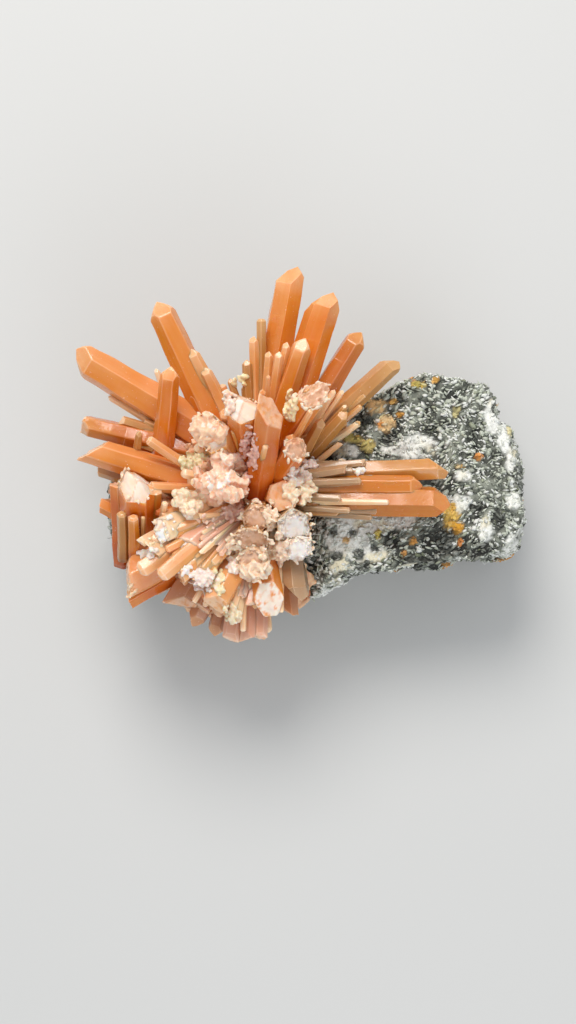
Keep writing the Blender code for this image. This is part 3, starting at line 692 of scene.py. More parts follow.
def left_fan(fan):
    """The crystals to the left, and the short one that stands in front of them."""
    add = partial(crystal, fan)
    add("standing_left", (-19.9, 3.0, 20.4), (-18.4, 17.8, 31.0), (3.5, 2.9), "six", "saturated", turn=22)
    add("broken_left", (-12.1, 5.0, 21.0), (-31.5, 9.5, 23.0), (3.8, 3.2), "broken", "dusky")
    add("broken_left_chip", (-17.0, 7.4, 21.5), (-25.8, 10.0, 23.0), (1.9, 1.5), "broken", "tan")
    add("pointed_left", (-12.1, 0.2, 22.0), (-31.4, 6.2, 25.6), (4.6, 3.9), "slant", "orange", turn=30,
        lean=(-1.0, 0.0))
    add("short_bar", (-14.9, 2.7, 24.5), (-21.8, 7.3, 28.2), (1.8, 1.5), "blunt", "peach")
    add("tiny_upright", (-23.4, 5.0, 23.0), (-22.9, 8.4, 27.4), (1.3, 1.1), "six", "tan")
    add("level_bar", (-13.2, -0.1, 24.0), (-21.4, 0.5, 26.0), (1.9, 1.6), "broken", "peach")
    add("block_main", (-23.0, -8.6, 16.0), (-23.3, 1.4, 28.4), (6.4, 5.4), "facing", "deep", turn=28,
        cap="planes")
    add("block_outer", (-25.1, -10.4, 16.5), (-26.0, 1.2, 25.5), (3.4, 2.8), "broken", "deep")
    add("block_inner", (-21.2, -8.8, 17.0), (-20.9, 0.6, 26.6), (3.0, 2.4), "broken", "orange")
    add("block_low_a", (-25.2, -9.8, 19.5), (-25.4, -3.2, 26.0), (1.9, 1.6), "blunt", "tan")
    add("block_low_b", (-23.6, -10.0, 20.0), (-23.8, -3.7, 27.4), (2.0, 1.7), "blunt", "orange")
    add("block_low_c", (-22.6, -8.4, 20.5), (-22.4, -3.8, 27.0), (0.9, 0.7), "blunt", "tan")
    add("behind_left_a", (-21.0, 0.6, 20.0), (-29.1, 3.2, 21.0), (2.6, 2.2), "broken", "tan")
    add("behind_left_b", (-21.5, -5.4, 20.0), (-28.8, -1.8, 21.5), (2.8, 2.3), "broken", "orange")
    bundle(fan, "left_thin", 12, ((-11.0, 5.4, 22.0), (-11.6, -0.6, 22.6)),
           ((-23.5, 11.6, 22.6), (-24.6, 1.6, 23.4)), (0.7, 1.4), ("tan", "orange", "peach"))


def lower_left_fan(fan):
    """Blades and broken crystals that point down to the left."""
    add = partial(crystal, fan)
    add("blade_upper", (-9.9, -3.0, 24.0), (-23.0, -11.5, 26.2), (3.2, 2.7), "blunt", "peach", flat=0.5)
    add("blade_middle", (-10.2, -4.0, 24.6), (-20.0, -12.4, 27.4), (3.0, 2.5), "blunt", "peach", flat=0.55)
    add("blade_lower", (-9.9, -4.8, 24.0), (-17.4, -12.3, 26.4), (3.6, 3.0), "broken", "peach", flat=0.55)
    add("striped_root", (-8.6, -2.4, 23.0), (-15.8, -8.6, 26.2), (5.6, 4.4), "broken", "mauve", flat=0.5)
    add("broad_low_left", (-14.4, -7.4, 19.6), (-25.4, -13.0, 20.8), (6.2, 6.2), "broken", "orange", turn=4)
    add("low_left_keel", (-14.6, -9.8, 18.6), (-24.6, -15.6, 19.0), (3.4, 3.0), "broken", "deep")
    add("pale_plate_a", (-15.0, -3.4, 24.0), (-20.4, -6.0, 27.8), (4.2, 3.8), "broken", "cream", flat=0.35,
        cap="planes")
    add("pale_plate_b", (-16.6, -5.6, 24.0), (-21.6, -8.8, 27.0), (4.0, 3.5), "broken", "pale", flat=0.4)
    add("pale_plate_c", (-18.0, -5.0, 23.6), (-22.9, -7.6, 26.4), (1.9, 1.6), "broken", "cream", flat=0.5)
    add("small_knob", (-19.8, -5.4, 23.0), (-19.3, -1.7, 27.4), (1.2, 1.0), "blunt", "pale")
    add("upper_edge_blade", (-12.4, -2.2, 23.6), (-20.0, -4.6, 26.2), (3.4, 2.7), "broken", "peach",
        flat=0.55)
    add("brown_ledge", (-13.0, -9.8, 19.8), (-17.6, -17.2, 18.8), (5.2, 5.8), "broken", "brown", flat=0.7)
    add("brown_ledge_right", (-11.4, -10.6, 19.4), (-14.4, -17.6, 18.6), (3.8, 3.6), "broken", "brown")
    add("hidden_low_a", (-11.4, -12.0, 18.4), (-15.4, -19.4, 17.2), (3.4, 2.8), "six", "brown")
    add("hidden_low_b", (-10.0, -12.6, 18.0), (-12.2, -20.8, 16.8), (3.0, 2.6), "six", "brown")
    add("sliver_a", (-12.0, -11.0, 23.0), (-15.2, -16.0, 23.6), (1.1, 0.8), "broken", "pale")
    add("sliver_b", (-11.4, -11.6, 23.0), (-13.7, -16.6, 23.6), (1.1, 0.9), "broken", "pale")
    bundle(fan, "low_left_thin", 26, ((-10.3, -2.4, 24.8), (-9.0, -6.4, 24.8)),
           ((-22.8, -7.6, 27.0), (-14.6, -14.2, 26.4)), (0.8, 1.5),
           ("peach", "pale", "mauve", "peach", "orange"))
    bundle(fan, "striped_ribs", 14, ((-8.6, -1.6, 24.9), (-7.6, -4.8, 24.9)),
           ((-17.4, -6.0, 27.6), (-13.2, -12.0, 27.4)), (0.6, 1.1), ("mauve", "mauve", "pale"))
    bundle(fan, "low_left_under", 14, ((-12.5, -4.4, 20.6), (-10.5, -9.6, 20.6)),
           ((-25.0, -9.0, 21.6), (-17.0, -15.0, 20.6)), (1.0, 2.0), ("orange", "peach", "tan"))


def lower_fan(fan):
    """Crystals and thin blades that point down."""
    add = partial(crystal, fan)
    add("down_left", (-8.6, -9.6, 22.0), (-12.4, -17.1, 24.8), (4.4, 4.2), "broken", "peach", turn=10)
    add("down_crust", (-8.4, -12.0, 21.6), (-9.4, -19.0, 22.6), (2.4, 1.9), "broken", "cream")
    add("down_blade_a", (-8.6, -12.4, 19.8), (-10.0, -21.7, 19.4), (2.8, 2.7), "broken", "mauve", flat=0.4)
    add("down_blade_b", (-7.0, -12.4, 20.0), (-7.4, -21.7, 19.6), (3.0, 2.9), "broken", "mauve", flat=0.4)
    add("down_blade_c", (-7.8, -12.0, 21.4), (-8.1, -20.2, 21.6), (1.0, 0.9), "blunt", "pale")
    add("down_blade_d", (-5.6, -12.6, 20.2), (-5.5, -21.3, 19.8), (2.2, 2.0), "broken", "mauve", flat=0.5)
    add("down_blade_e", (-5.0, -13.0, 19.8), (-4.5, -20.4, 19.4), (1.5, 1.2), "six", "pale", flat=0.6)
    add("down_splinter", (-6.6, -12.0, 22.0), (-6.4, -17.0, 22.8), (1.3, 0.9), "six", "tan")
    add("down_middle", (-5.2, -9.6, 22.0), (-4.2, -17.6, 24.8), (4.2, 4.8), "slant", "orange", turn=30,
        lean=(0.0, -1.0), cap="mottled", side_crystals=0)
    add("down_right", (-1.4, -8.4, 21.8), (-0.4, -15.9, 22.6), (3.8, 4.6), "six", "glassy", turn=8,
        lean=(-0.3, 0.1))
    add("down_hidden", (-2.4, -10.4, 19.4), (-1.4, -17.8, 18.8), (3.2, 2.6), "broken", "brown")
    bundle(fan, "down_thin", 24, ((-10.4, -8.6, 22.6), (-2.4, -8.8, 22.6)),
           ((-14.0, -17.0, 23.8), (-2.4, -17.6, 23.0)), (0.8, 1.7), ("tan", "pale", "peach", "mauve"))


def centre_fan(fan):
    """The crystals that point at the viewer, and the pale heads between them."""
    add = partial(crystal, fan)
    add("front_main", (-6.2, -1.6, 22.0), (-4.0, 12.9, 37.5), (4.4, 4.6), "slant", "deep", turn=0,
        lean=(-1.0, -0.3))
    add("front_main_side", (-5.9, 4.0, 26.0), (-5.3, 14.4, 36.0), (1.2, 1.0), "six", "saturated")
    add("front_rod", (-6.2, 1.4, 25.5), (-4.9, 6.4, 33.8), (1.2, 1.0), "blunt", "peach")
    add("front_right", (-4.4, 0.4, 22.0), (0.0, 6.8, 33.5), (4.0, 4.0), "six", "deep", turn=28, cap="rim")
    add("front_right_side", (-3.8, 1.4, 22.5), (-1.2, 7.9, 31.6), (1.8, 1.6), "six", "saturated")
    add("open_end", (-4.2, 5.0, 21.5), (2.0, 13.9, 33.5), (4.0, 4.4), "facing", "saturated", turn=14,
        cap="rim")
    add("open_end_side", (-3.6, 5.6, 24.5), (1.3, 14.6, 33.0), (1.2, 1.0), "six", "orange")
    add("open_end_rib", (-2.2, 5.0, 26.0), (1.6, 11.4, 33.6), (1.1, 0.9), "blunt", "peach")
    add("square_head", (-7.1, 3.2, 21.5), (-8.2, 12.6, 36.0), (4.6, 5.7), "facing", "deep", turn=45,
        cap="planes")
    add("square_head_side", (-8.0, 4.4, 22.0), (-10.8, 11.2, 32.6), (2.2, 1.9), "blunt", "orange")
    add("left_head", (-8.6, 2.6, 21.5), (-13.0, 8.5, 32.4), (4.2, 5.2), "facing", "peach", turn=15,
        cap="planes")
    add("left_head_low", (-9.6, 3.0, 21.5), (-14.9, 6.2, 29.2), (1.6, 1.3), "blunt", "pale")
    add("thin_between_heads", (-7.6, 3.6, 25.0), (-9.5, 8.8, 32.4), (1.3, 1.0), "six", "orange")
    add("thin_right_a", (0.2, 4.6, 22.8), (3.2, 10.2, 28.6), (2.0, 1.8), "six", "tan")
    add("thin_right_b", (1.2, 5.0, 22.6), (6.8, 11.2, 26.4), (2.4, 2.1), "six", "tan")
    add("pale_right_a", (1.4, 7.4, 22.6), (6.2, 14.3, 27.0), (1.1, 0.8), "six", "pale")
    add("pale_right_b", (1.0, 7.6, 22.8), (5.0, 14.4, 27.6), (1.1, 0.9), "six", "pale")
    add("pale_right_c", (2.0, 7.0, 22.6), (6.7, 12.2, 26.6), (1.1, 0.9), "six", "tan")
    add("pale_right_d", (0.6, 8.0, 23.0), (3.8, 14.0, 28.4), (1.2, 0.9), "six", "pale")


def heads_fan(fan):
    """Stubby crystals that face the viewer round the middle and below it."""
    add = partial(crystal, fan)
    add("crust_head", (-10.4, 0.6, 21.0), (-11.4, 1.2, 31.0), (5.0, 4.4), "broken", "pale")
    add("crust_knob_left", (-12.0, 1.4, 26.0), (-16.9, 2.5, 28.6), (1.8, 1.5), "blunt", "pale")
    add("crust_knob_left_low", (-12.4, 0.6, 26.0), (-15.4, 1.2, 29.4), (1.5, 1.3), "blunt", "pale")
    add("crust_knob_top", (-10.6, 2.4, 26.5), (-11.6, 5.8, 30.8), (1.4, 1.2), "blunt", "pale")
    add("crust_knob_top_b", (-10.0, 2.0, 26.5), (-10.4, 4.6, 31.4), (1.5, 1.2), "blunt", "pale")
    add("crust_knob_low", (-10.2, -0.4, 26.0), (-9.7, -1.0, 30.8), (2.2, 2.0), "blunt", "cream")
    add("crust_knob_right", (-8.2, 0.0, 22.0), (-8.0, 0.7, 30.4), (1.4, 1.0), "blunt", "peach")
    add("cream_finger_a", (-13.0, -0.8, 24.0), (-18.2, -0.4, 27.6), (1.6, 1.3), "blunt", "cream")
    add("cream_finger_b", (-13.0, -1.6, 24.0), (-18.3, -1.8, 27.2), (1.7, 1.4), "blunt", "cream")
    add("cream_plate", (-12.6, -2.2, 24.0), (-16.4, -3.4, 27.8), (2.8, 2.2), "broken", "cream", flat=0.5,
        cap="planes")
    add("pink_rod", (-10.6, -3.4, 25.0), (-14.4, -3.7, 27.4), (0.9, 0.8), "broken", "pale")
    add("hexagon_head", (-6.2, -2.4, 20.5), (-6.2, -4.1, 28.6), (3.8, 5.0), "blunt", "tan", turn=20,
        cap="rim")
    add("hexagon_side", (-4.4, -2.6, 20.5), (-3.9, -4.3, 27.6), (2.6, 2.8), "broken", "pale", cap="rim")
    add("cracked_head", (-6.6, -5.0, 20.5), (-7.1, -8.0, 28.0), (5.0, 6.4), "broken", "tan", turn=50,
        cap="rim")
    add("cracked_side", (-8.0, -5.0, 20.5), (-8.9, -6.7, 27.6), (1.8, 1.7), "blunt", "pale", cap="rim")
    add("fringed_head", (-6.4, -7.0, 20.5), (-6.7, -10.9, 27.0), (4.2, 5.0), "broken", "cream", cap="rim")
    add("glassy_head", (-2.0, -3.4, 20.5), (-0.8, -5.4, 28.2), (4.8, 6.0), "blunt", "glassy", turn=35,
        cap="frosty")
    add("white_head", (-1.4, -5.4, 20.5), (-0.1, -8.6, 27.2), (3.8, 4.8), "blunt", "white", cap="frosty")
    add("between_heads", (-2.6, -6.0, 20.5), (-2.5, -9.1, 26.0), (2.6, 2.7), "blunt", "pale", cap="rim")
    add("peach_head", (-3.4, -0.4, 21.0), (-2.4, -0.9, 28.6), (4.4, 5.0), "broken", "orange")
    add("peach_knob_a", (-1.8, -0.4, 24.5), (1.5, -0.2, 27.6), (1.6, 1.3), "blunt", "cream")
    add("peach_knob_b", (-1.8, -1.0, 24.5), (0.7, -1.8, 27.0), (1.4, 1.2), "blunt", "cream")
    add("peach_knob_c", (-2.4, 0.4, 25.0), (-0.4, 1.3, 28.4), (1.4, 1.2), "broken", "cream")


def right_fan(fan):
    """Crystals that lie to the right, just over the rock's face."""
    add = partial(crystal, fan)
    add("right_upper", (-4.0, 2.2, 23.2), (21.2, 3.2, 24.4), (3.7, 3.5), "six", "smoky", turn=0,
        lean=(0.4, 0.0))
    add("right_middle", (-3.4, 0.6, 24.6), (17.5, 0.6, 25.6), (3.4, 3.2), "six", "amber", turn=30)
    add("right_lower", (-4.0, -1.2, 23.6), (21.5, -1.6, 24.8), (4.6, 4.6), "six", "amber", turn=15,
        lean=(0.2, 0.1))
    add("right_lowest", (-1.4, -2.6, 23.4), (10.4, -3.7, 24.2), (1.8, 1.4), "blunt", "glassy")
    add("right_blade_a", (-2.0, 2.8, 24.4), (9.4, 4.0, 25.8), (1.6, 1.1), "broken", "glassy")
    add("right_blade_b", (-2.2, 1.7, 24.6), (6.8, 3.1, 27.0), (1.8, 1.4), "broken", "glassy")
    add("right_blade_c", (-1.4, 0.8, 25.6), (8.8, 1.3, 27.3), (1.6, 1.2), "blunt", "glassy")
    add("right_blade_d", (-1.4, -0.6, 25.6), (6.0, -1.2, 27.2), (1.5, 1.1), "broken", "glassy")
    add("right_blade_e", (-1.4, -1.4, 25.0), (12.7, -1.7, 27.2), (1.4, 0.9), "blunt", "pale")
    add("right_blade_f", (-1.6, -2.2, 24.6), (7.2, -2.9, 26.2), (1.3, 1.0), "blunt", "glassy")
    add("right_upper_sleeve", (-3.0, 2.2, 23.3), (9.5, 2.75, 24.2), (4.0, 4.0), "slant", "glassy", turn=0,
        lean=(1.0, 0.3), cap="frosty", side_crystals=0)
    bundle(fan, "right_thin", 18, ((-3.0, 2.8, 24.2), (-2.6, -2.9, 24.2)),
           ((10.5, 4.3, 25.8), (11.5, -3.9, 25.4)), (0.6, 1.3), ("glassy", "tan", "glassy", "pale"))


# Shapes made from the crystals and the rock's solid


def rock_height(x, y):
    """Height of the rock's face in millimetres, as in the part: the seat, and the open face on the right."""
    place = Vector((x, y, ROCK_TOP))
    lumps = sum(height * noise.noise(place * wave) for height, wave in (ROCK_LUMP, ROCK_GRIT))
    middle = seen_mm(*SEAT_MIDDLE, SEAT_TOP)
    away = Vector((min(0.0, x - middle.x) / SEAT_REACH[0], (y - middle.y) / SEAT_REACH[1]))
    seat = SEAT_TOP - SEAT_FALL * min(SEAT_DEEPEST, away.length_squared)
    start = seen_mm(SEAT_EDGE[0], 0.0, SEAT_TOP).x
    end = seen_mm(SEAT_EDGE[1], 0.0, ROCK_TOP).x
    share = float(smooth(start, end, x))
    return seat + share * (ROCK_TOP - seat) + lumps


def rock_heights(points):
    """The same, for points in metres."""
    return np.array([rock_height(x / MM, y / MM) for x, y, _ in points])


def noises(points, wave, offset=0.0):
    """Noise from about -1 to 1 at every point, which are in metres; wave is in cycles a millimetre."""
    scale = wave / MM
    return np.array([noise.noise((x * scale + offset, y * scale, z * scale)) for x, y, z in points])


def layered(points, *layers):
    """Noise of several sizes added up, each as (strength, wave, offset)."""
    return sum(strength * noises(points, wave, offset) for strength, wave, offset in layers)


def read_mesh(mesh):
    mesh.calc_loop_triangles()
    points = np.empty(len(mesh.vertices) * 3, np.float32)
    mesh.vertices.foreach_get("co", points)
    triangles = np.empty(len(mesh.loop_triangles) * 3, np.int32)
    mesh.loop_triangles.foreach_get("vertices", triangles)
    return points.reshape(-1, 3).astype(float), triangles.reshape(-1, 3)


def remeshed(points, triangles, voxel):
    """One even skin round the given closed shapes, as points and triangles."""
    mesh = mesh_of("remesh_source", points, triangles)
    obj = bpy.data.objects.new("remesh_source", mesh)
    bpy.context.scene.collection.objects.link(obj)
    modifier = obj.modifiers.new("skin", "REMESH")
    modifier.mode = "VOXEL"
    modifier.voxel_size = voxel * MM
    result = bpy.data.meshes.new_from_object(obj.evaluated_get(bpy.context.evaluated_depsgraph_get()))
    bpy.data.objects.remove(obj)
    bpy.data.meshes.remove(mesh)
    found = read_mesh(result)
    bpy.data.meshes.remove(result)
    return found


def tree_of(*pieces):
    """A tree for casting rays at all that the pieces hold so far, and the piece of each of its triangles."""
    points, triangles, owners, count = [], [], [], 0
    for piece in pieces:
        some_points, some_triangles = piece.arrays()
        points.append(some_points)
        triangles.append(some_triangles + count)
        owners += [piece.name] * len(some_triangles)
        count += len(some_points)
    return BVHTree.FromPolygons(np.concatenate(points).tolist(), np.concatenate(triangles).tolist()), owners


# Sizes of the skins' voxels in millimetres, and the seed of everything that is placed at random
ROOT_VOXEL = 0.42
CRUST_VOXEL = 0.15
UNDERGROWTH_VOXEL = 0.2
BACK_CRUST_VOXEL = 0.3
ROCK_VOXEL = 0.37
SEEDS = {
    "front_crust": 11, "undergrowth": 13, "fringes": 17, "back_crust": 23, "side_stubs": 29,
    "crust_skin": 12, "undergrowth_skin": 15, "back_crust_skin": 24,
    "rock_flakes_1": 71, "rock_flakes_2": 72, "rock_grains": 91, "grain_shape": 5,
}


def ball():
    bm = bmesh.new()
    bmesh.ops.create_icosphere(bm, subdivisions=5, radius=1.0)
    return arrays_of(bm)


def stub():
    """A small six-sided crystal with a rounded point, about one unit wide and long."""
    bm = bmesh.new()
    bmesh.ops.create_cone(bm, cap_ends=True, segments=6, radius1=0.5, radius2=0.44, depth=1.0,
                          matrix=Matrix.Translation((0.0, 0.0, 0.5)))
    top = [f for f in bm.faces if f.normal.z > 0.9 or f.calc_center_median().z > 0.99]
    bmesh.ops.inset_region(bm, faces=top, thickness=0.24, depth=0.0)
    for face in top:
        for vertex in face.verts:
            vertex.co.z += 0.2
    for vertex in bm.verts:
        if 0.99 < vertex.co.z < 1.01:
            vertex.co.z -= 0.08
    bmesh.ops.triangulate(bm, faces=bm.faces)
    return arrays_of(bm)


def frames_along(directions, rng):
    """For each direction, a frame whose third axis is along it, turned at random about it."""
    directions = unit(directions)
    first = unit(np.cross(rng.normal(size=directions.shape), directions))
    return np.stack((first, np.cross(directions, first), directions), axis=2)


def scatter(piece, shape, places, frames, sizes, tints, frost, rng, unevenness=0.0):
    """Adds a copy of a small shape at every place, in metres, with sizes in millimetres."""
    points, triangles = shape
    count, each = len(places), len(points)
    copies = np.broadcast_to(points, (count, each, 3)) * (sizes * MM)[:, None, :]
    if unevenness:
        copies = copies * rng.uniform(1.0 - unevenness, 1.0 + unevenness, (count, each, 1))
    copies = np.einsum("nij,nkj->nki", frames, copies) + places[:, None, :]
    faces = triangles[None] + (np.arange(count) * each)[:, None, None]
    piece.add(copies.reshape(-1, 3), faces.reshape(-1, 3), np.repeat(tints, each, axis=0), frost)


def shards(kinds, rng):
    """Small broken crystals of about half width one, standing on the origin, each with an end of its own."""
    made = []
    for _ in range(kinds):
        bm = bmesh.new()
        bmesh.ops.create_cone(bm, cap_ends=True, segments=6, radius1=0.85, radius2=rng.uniform(0.8, 1.15),
                              depth=2.4, matrix=Matrix.Translation((0.0, 0.0, 0.8)))
        for _ in range(3):
            turn, slope = rng.uniform(0.0, 2.0 * math.pi), math.radians(rng.uniform(10.0, 42.0))
            side = Vector((math.cos(turn), math.sin(turn), 0.0))
            cut(bm, (0.0, 0.0, rng.uniform(0.7, 1.0)), sloping(side, slope))
        bmesh.ops.triangulate(bm, faces=bm.faces)
        made.append(arrays_of(bm))
    return made


def sample(points, triangles, count, rng):
    """Places spread evenly over a surface, and the surface's direction at each."""
    corners = points[triangles]
    across = np.cross(corners[:, 1] - corners[:, 0], corners[:, 2] - corners[:, 0])
    areas = np.linalg.norm(across, axis=1)
    chosen = rng.choice(len(triangles), count, p=areas / areas.sum())
    first, second = rng.uniform(size=(2, count, 1))
    over = first + second > 1.0
    first, second = np.where(over, 1.0 - first, first), np.where(over, 1.0 - second, second)
    picked = corners[chosen]
    places = picked[:, 0] + first * (picked[:, 1] - picked[:, 0]) + second * (picked[:, 2] - picked[:, 0])
    return places, across[chosen] / np.maximum(areas[chosen], 1e-12)[:, None]


# Lumps of the grown-together roots: middle as seen, half sizes and roughness
ROOT_LUMPS = (
    ((-20.2, -4.2, 16.8), (5.0, 6.8, 5.6), 0.5),
    ((-10.0, 5.6, 17.6), (11.0, 5.4, 5.6), 0.5),
    ((-9.4, -11.4, 16.4), (9.4, 5.6, 6.4), 0.5),
    ((-8.6, -2.0, 18.6), (9.8, 9.4, 6.0), 0.4),
)


# Colours of the roots: from dark to pale, in pink patches, and the painted shade in the hollows
ROOT_TONES = ((196, 112, 58), (230, 186, 146))
ROOT_PINK = (206, 148, 126)
ROOT_HOLLOW_SHADE = (150, 84, 46)


def root_mass(piece):
    """The grown-together roots between the crystals, with a rough surface."""
    turn = np.array(Euler((0.4, 0.7, 0.3)).to_matrix())
    sphere, faces = ball()
    sphere = sphere @ turn.T
    points, triangles = [], []
    for number, (centre, size, roughness) in enumerate(ROOT_LUMPS):
        swell = [1.0 + roughness * noise.noise(Vector(p) * 2.3 + Vector(centre)) for p in sphere]
        points.append(np.array(seen(*centre)) + sphere * np.array(swell)[:, None] * np.array(size) * MM)
        triangles.append(faces + number * len(sphere))
    points, triangles = remeshed(np.concatenate(points), np.concatenate(triangles), ROOT_VOXEL)
    push = layered(points, (0.45, 0.45, 0.0), (0.3, 1.1, 7.0), (0.16, 2.4, 3.0))
    points = points + area_normals(points, triangles) * (push * MM)[:, None]
    points[:, 2] = np.maximum(points[:, 2], (rock_heights(points) - 0.1) * MM)
    pale = smooth(-0.1, 0.35, noises(points, 0.5, 11.0))[:, None]
    pink = smooth(0.0, 0.4, noises(points, 0.3, 23.0))[:, None]
    # Painted shade: the hollows of the rough surface are darkened
    deep = smooth(0.1, -0.5, push / 0.6)[:, None]
    tints = mix(*linear(ROOT_TONES), pale)
    tints = mix(tints, linear(ROOT_PINK), pink * 0.6)
    tints = mix(tints, linear(ROOT_HOLLOW_SHADE), deep * 0.6)
    piece.add(points, triangles, tints, 0.4 + 0.4 * pale[:, 0])


# Crust of small broken crystals: middle and reach in the photograph's pixels, how many, their half width
# in millimetres, the colours of their tops and the painted shade of the hollows between, and whether only
# the roots carry it
CRUSTS = (
    ((222, 478), (27, 26), 250, (0.45, 0.95), (254, 226, 204), (242, 164, 112), False),
    ((221, 482), (14, 13), 70, (0.4, 0.8), (255, 252, 248), (250, 218, 196), False),
    ((209, 430), (18, 19), 80, (0.38, 0.9), (250, 220, 190), (238, 170, 122), False),
    ((209, 428), (9, 8), 20, (0.3, 0.6), (255, 246, 236), (246, 210, 180), False),
    ((194, 461), (17, 9), 90, (0.26, 0.55), (244, 240, 206), (226, 206, 146), False),
    ((240, 380), (9, 9), 40, (0.3, 0.6), (252, 242, 206), (240, 210, 140), False),
    ((229, 402), (7, 11), 30, (0.3, 0.6), (254, 240, 228), (244, 190, 156), False),
    ((291, 405), (6, 15), 60, (0.32, 0.7), (250, 242, 208), (242, 210, 140), False),
    ((250, 450), (9, 28), 170, (0.18, 0.42), (242, 206, 194), (206, 144, 126), False),
    ((232, 458), (14, 7), 50, (0.3, 0.65), (254, 238, 222), (240, 186, 154), False),
    ((298, 476), (14, 10), 70, (0.28, 0.6), (250, 240, 232), (222, 184, 160), False),
    ((311, 463), (9, 6), 26, (0.26, 0.5), (250, 240, 234), (216, 188, 170), False),
    ((300, 490), (16, 12), 70, (0.36, 0.8), (254, 238, 214), (242, 192, 142), False),
    ((271, 520), (7, 20), 50, (0.3, 0.65), (248, 232, 208), (218, 168, 126), False),
    ((268, 552), (7, 12), 26, (0.3, 0.65), (250, 236, 212), (222, 172, 130), False),
    ((233, 548), (8, 12), 40, (0.3, 0.65), (250, 236, 212), (228, 176, 134), False),
    ((256, 570), (18, 9), 56, (0.3, 0.7), (252, 236, 214), (226, 174, 130), False),
    ((282, 548), (5, 18), 40, (0.3, 0.65), (248, 230, 210), (216, 164, 128), False),
    ((205, 580), (15, 13), 100, (0.28, 0.65), (252, 242, 236), (224, 188, 164), False),
    ((219, 580), (6, 15), 50, (0.26, 0.6), (248, 238, 206), (236, 206, 148), False),
    ((235, 565), (8, 9), 34, (0.3, 0.65), (252, 246, 240), (232, 198, 174), False),
    ((232, 612), (9, 12), 80, (0.2, 0.5), (250, 240, 214), (234, 196, 140), False),
    ((149, 553), (11, 6), 36, (0.22, 0.55), (255, 250, 246), (246, 218, 196), False),
    ((172, 522), (11, 9), 12, (0.2, 0.42), (255, 250, 246), (248, 212, 184), False),
    ((187, 570), (10, 7), 30, (0.18, 0.42), (255, 250, 248), (246, 210, 190), False),
    ((359, 470), (8, 5), 34, (0.14, 0.34), (255, 252, 248), (240, 224, 206), False),
    ((233, 512), (12, 9), 60, (0.25, 0.6), (240, 208, 194), (206, 152, 134), False),
    ((212, 520), (16, 10), 22, (0.18, 0.4), (246, 214, 196), (226, 168, 142), False),
    ((158, 536), (13, 10), 12, (0.18, 0.36), (254, 240, 214), (246, 206, 150), False),
    ((128, 590), (10, 8), 24, (0.2, 0.45), (252, 226, 200), (238, 180, 132), False),
    ((190, 500), (16, 13), 90, (0.38, 0.8), (254, 240, 216), (244, 198, 150), False),
    ((250, 480), (70, 92), 1300, (0.4, 1.0), (250, 216, 182), (228, 158, 108), True),
    ((196, 580), (46, 30), 300, (0.4, 0.9), (240, 192, 150), (206, 136, 90), True),
)
CRUST_CENTRE = (-7.0, -2.0, 14.0)
SHARD_KINDS = 9

# Small crystals that fill the gaps between the large ones: middle and reach in the photograph's pixels,
# the height they grow up to, how many are tried, their half width, and the colours of their tops and of the
# painted shade at their feet
UNDERGROWTHS = (
    ((270, 540), (34, 40), 24.6, 260, (0.5, 1.1), (250, 230, 204), (214, 162, 120)),
    ((300, 482), (20, 20), 26.0, 90, (0.45, 0.9), (252, 236, 214), (228, 174, 130)),
    ((236, 462), (34, 30), 26.6, 200, (0.45, 0.95), (252, 224, 200), (232, 154, 108)),
    ((188, 505), (40, 30), 24.2, 260, (0.5, 1.0), (248, 206, 164), (222, 144, 84)),
    ((170, 556), (40, 30), 21.8, 200, (0.5, 1.1), (244, 186, 134), (212, 126, 64)),
    ((236, 588), (66, 22), 20.6, 200, (0.5, 1.1), (246, 214, 180), (208, 142, 96)),
    ((205, 440), (48, 40), 24.2, 220, (0.5, 1.0), (244, 190, 136), (216, 124, 56)),
    ((262, 420), (40, 36), 25.8, 220, (0.5, 1.0), (246, 190, 140), (218, 122, 54)),
    ((330, 478), (26, 26), 23.8, 120, (0.4, 0.9), (236, 200, 160), (180, 136, 92)),
)
# Colours of the tops, and of the painted shade at the feet, of the small crystals round the broken ends and
# at the sides
FRINGE_COLOURS = ((250, 234, 214), (236, 192, 154))
BACK_COLOURS = ((238, 200, 162), (204, 138, 92))
STUB_TONES = ((212, 116, 44), (244, 190, 140))
BACK_TRIED = 4200
STUBS_TRIED = 900

# A small crystal: its place in metres, the way it points, its size in millimetres, and two colours: of its
# top and of the painted shade at its foot
Shard = namedtuple("Shard", "place direction size top foot")


def ray_hit(tree, across, down):
    """Where the line of sight through a pixel of the photograph ends: place, normal and triangle."""
    x = (across - PICTURE_ORIGIN[0]) / PIXELS_PER_MM
    y = (PICTURE_ORIGIN[1] - down) / PIXELS_PER_MM
    return tree.ray_cast((EYE - Vector(MIDDLE)) * MM, sight_line(x, y).normalized())[:3]


def spots(middle, reach, count, rng):
    """Random pixels round a middle, denser towards it."""
    made = 0
    while made < count:
        spot = rng.normal(0.0, 0.55, 2)
        if spot @ spot <= 1.0:
            made += 1
            yield middle[0] + spot[0] * reach[0], middle[1] + spot[1] * reach[1]


def front_crust(tree, owners):
    """Small crystals in the patches of crust that the front shows."""
    rng = np.random.default_rng(SEEDS["front_crust"])
    centre = seen(*CRUST_CENTRE)
    found = []
    for middle, reach, count, widths, top, foot, on_roots in CRUSTS:
        for across, down in spots(middle, reach, count, rng):
            place, normal, hit = ray_hit(tree, across, down)
            if place is None or (on_roots and owners[hit] != "root_mass"):
                continue
            direction = (place - centre).normalized() + normal * 0.8 + Vector(rng.normal(0.0, 0.35, 3))
            width = mix(*widths, rng.uniform() ** 1.5)
            size = tuple(width * rng.uniform(*span) for span in ((0.8, 1.2), (0.6, 1.0), (0.9, 1.9)))
            found.append(Shard(place, direction, size, top, foot))
    return found


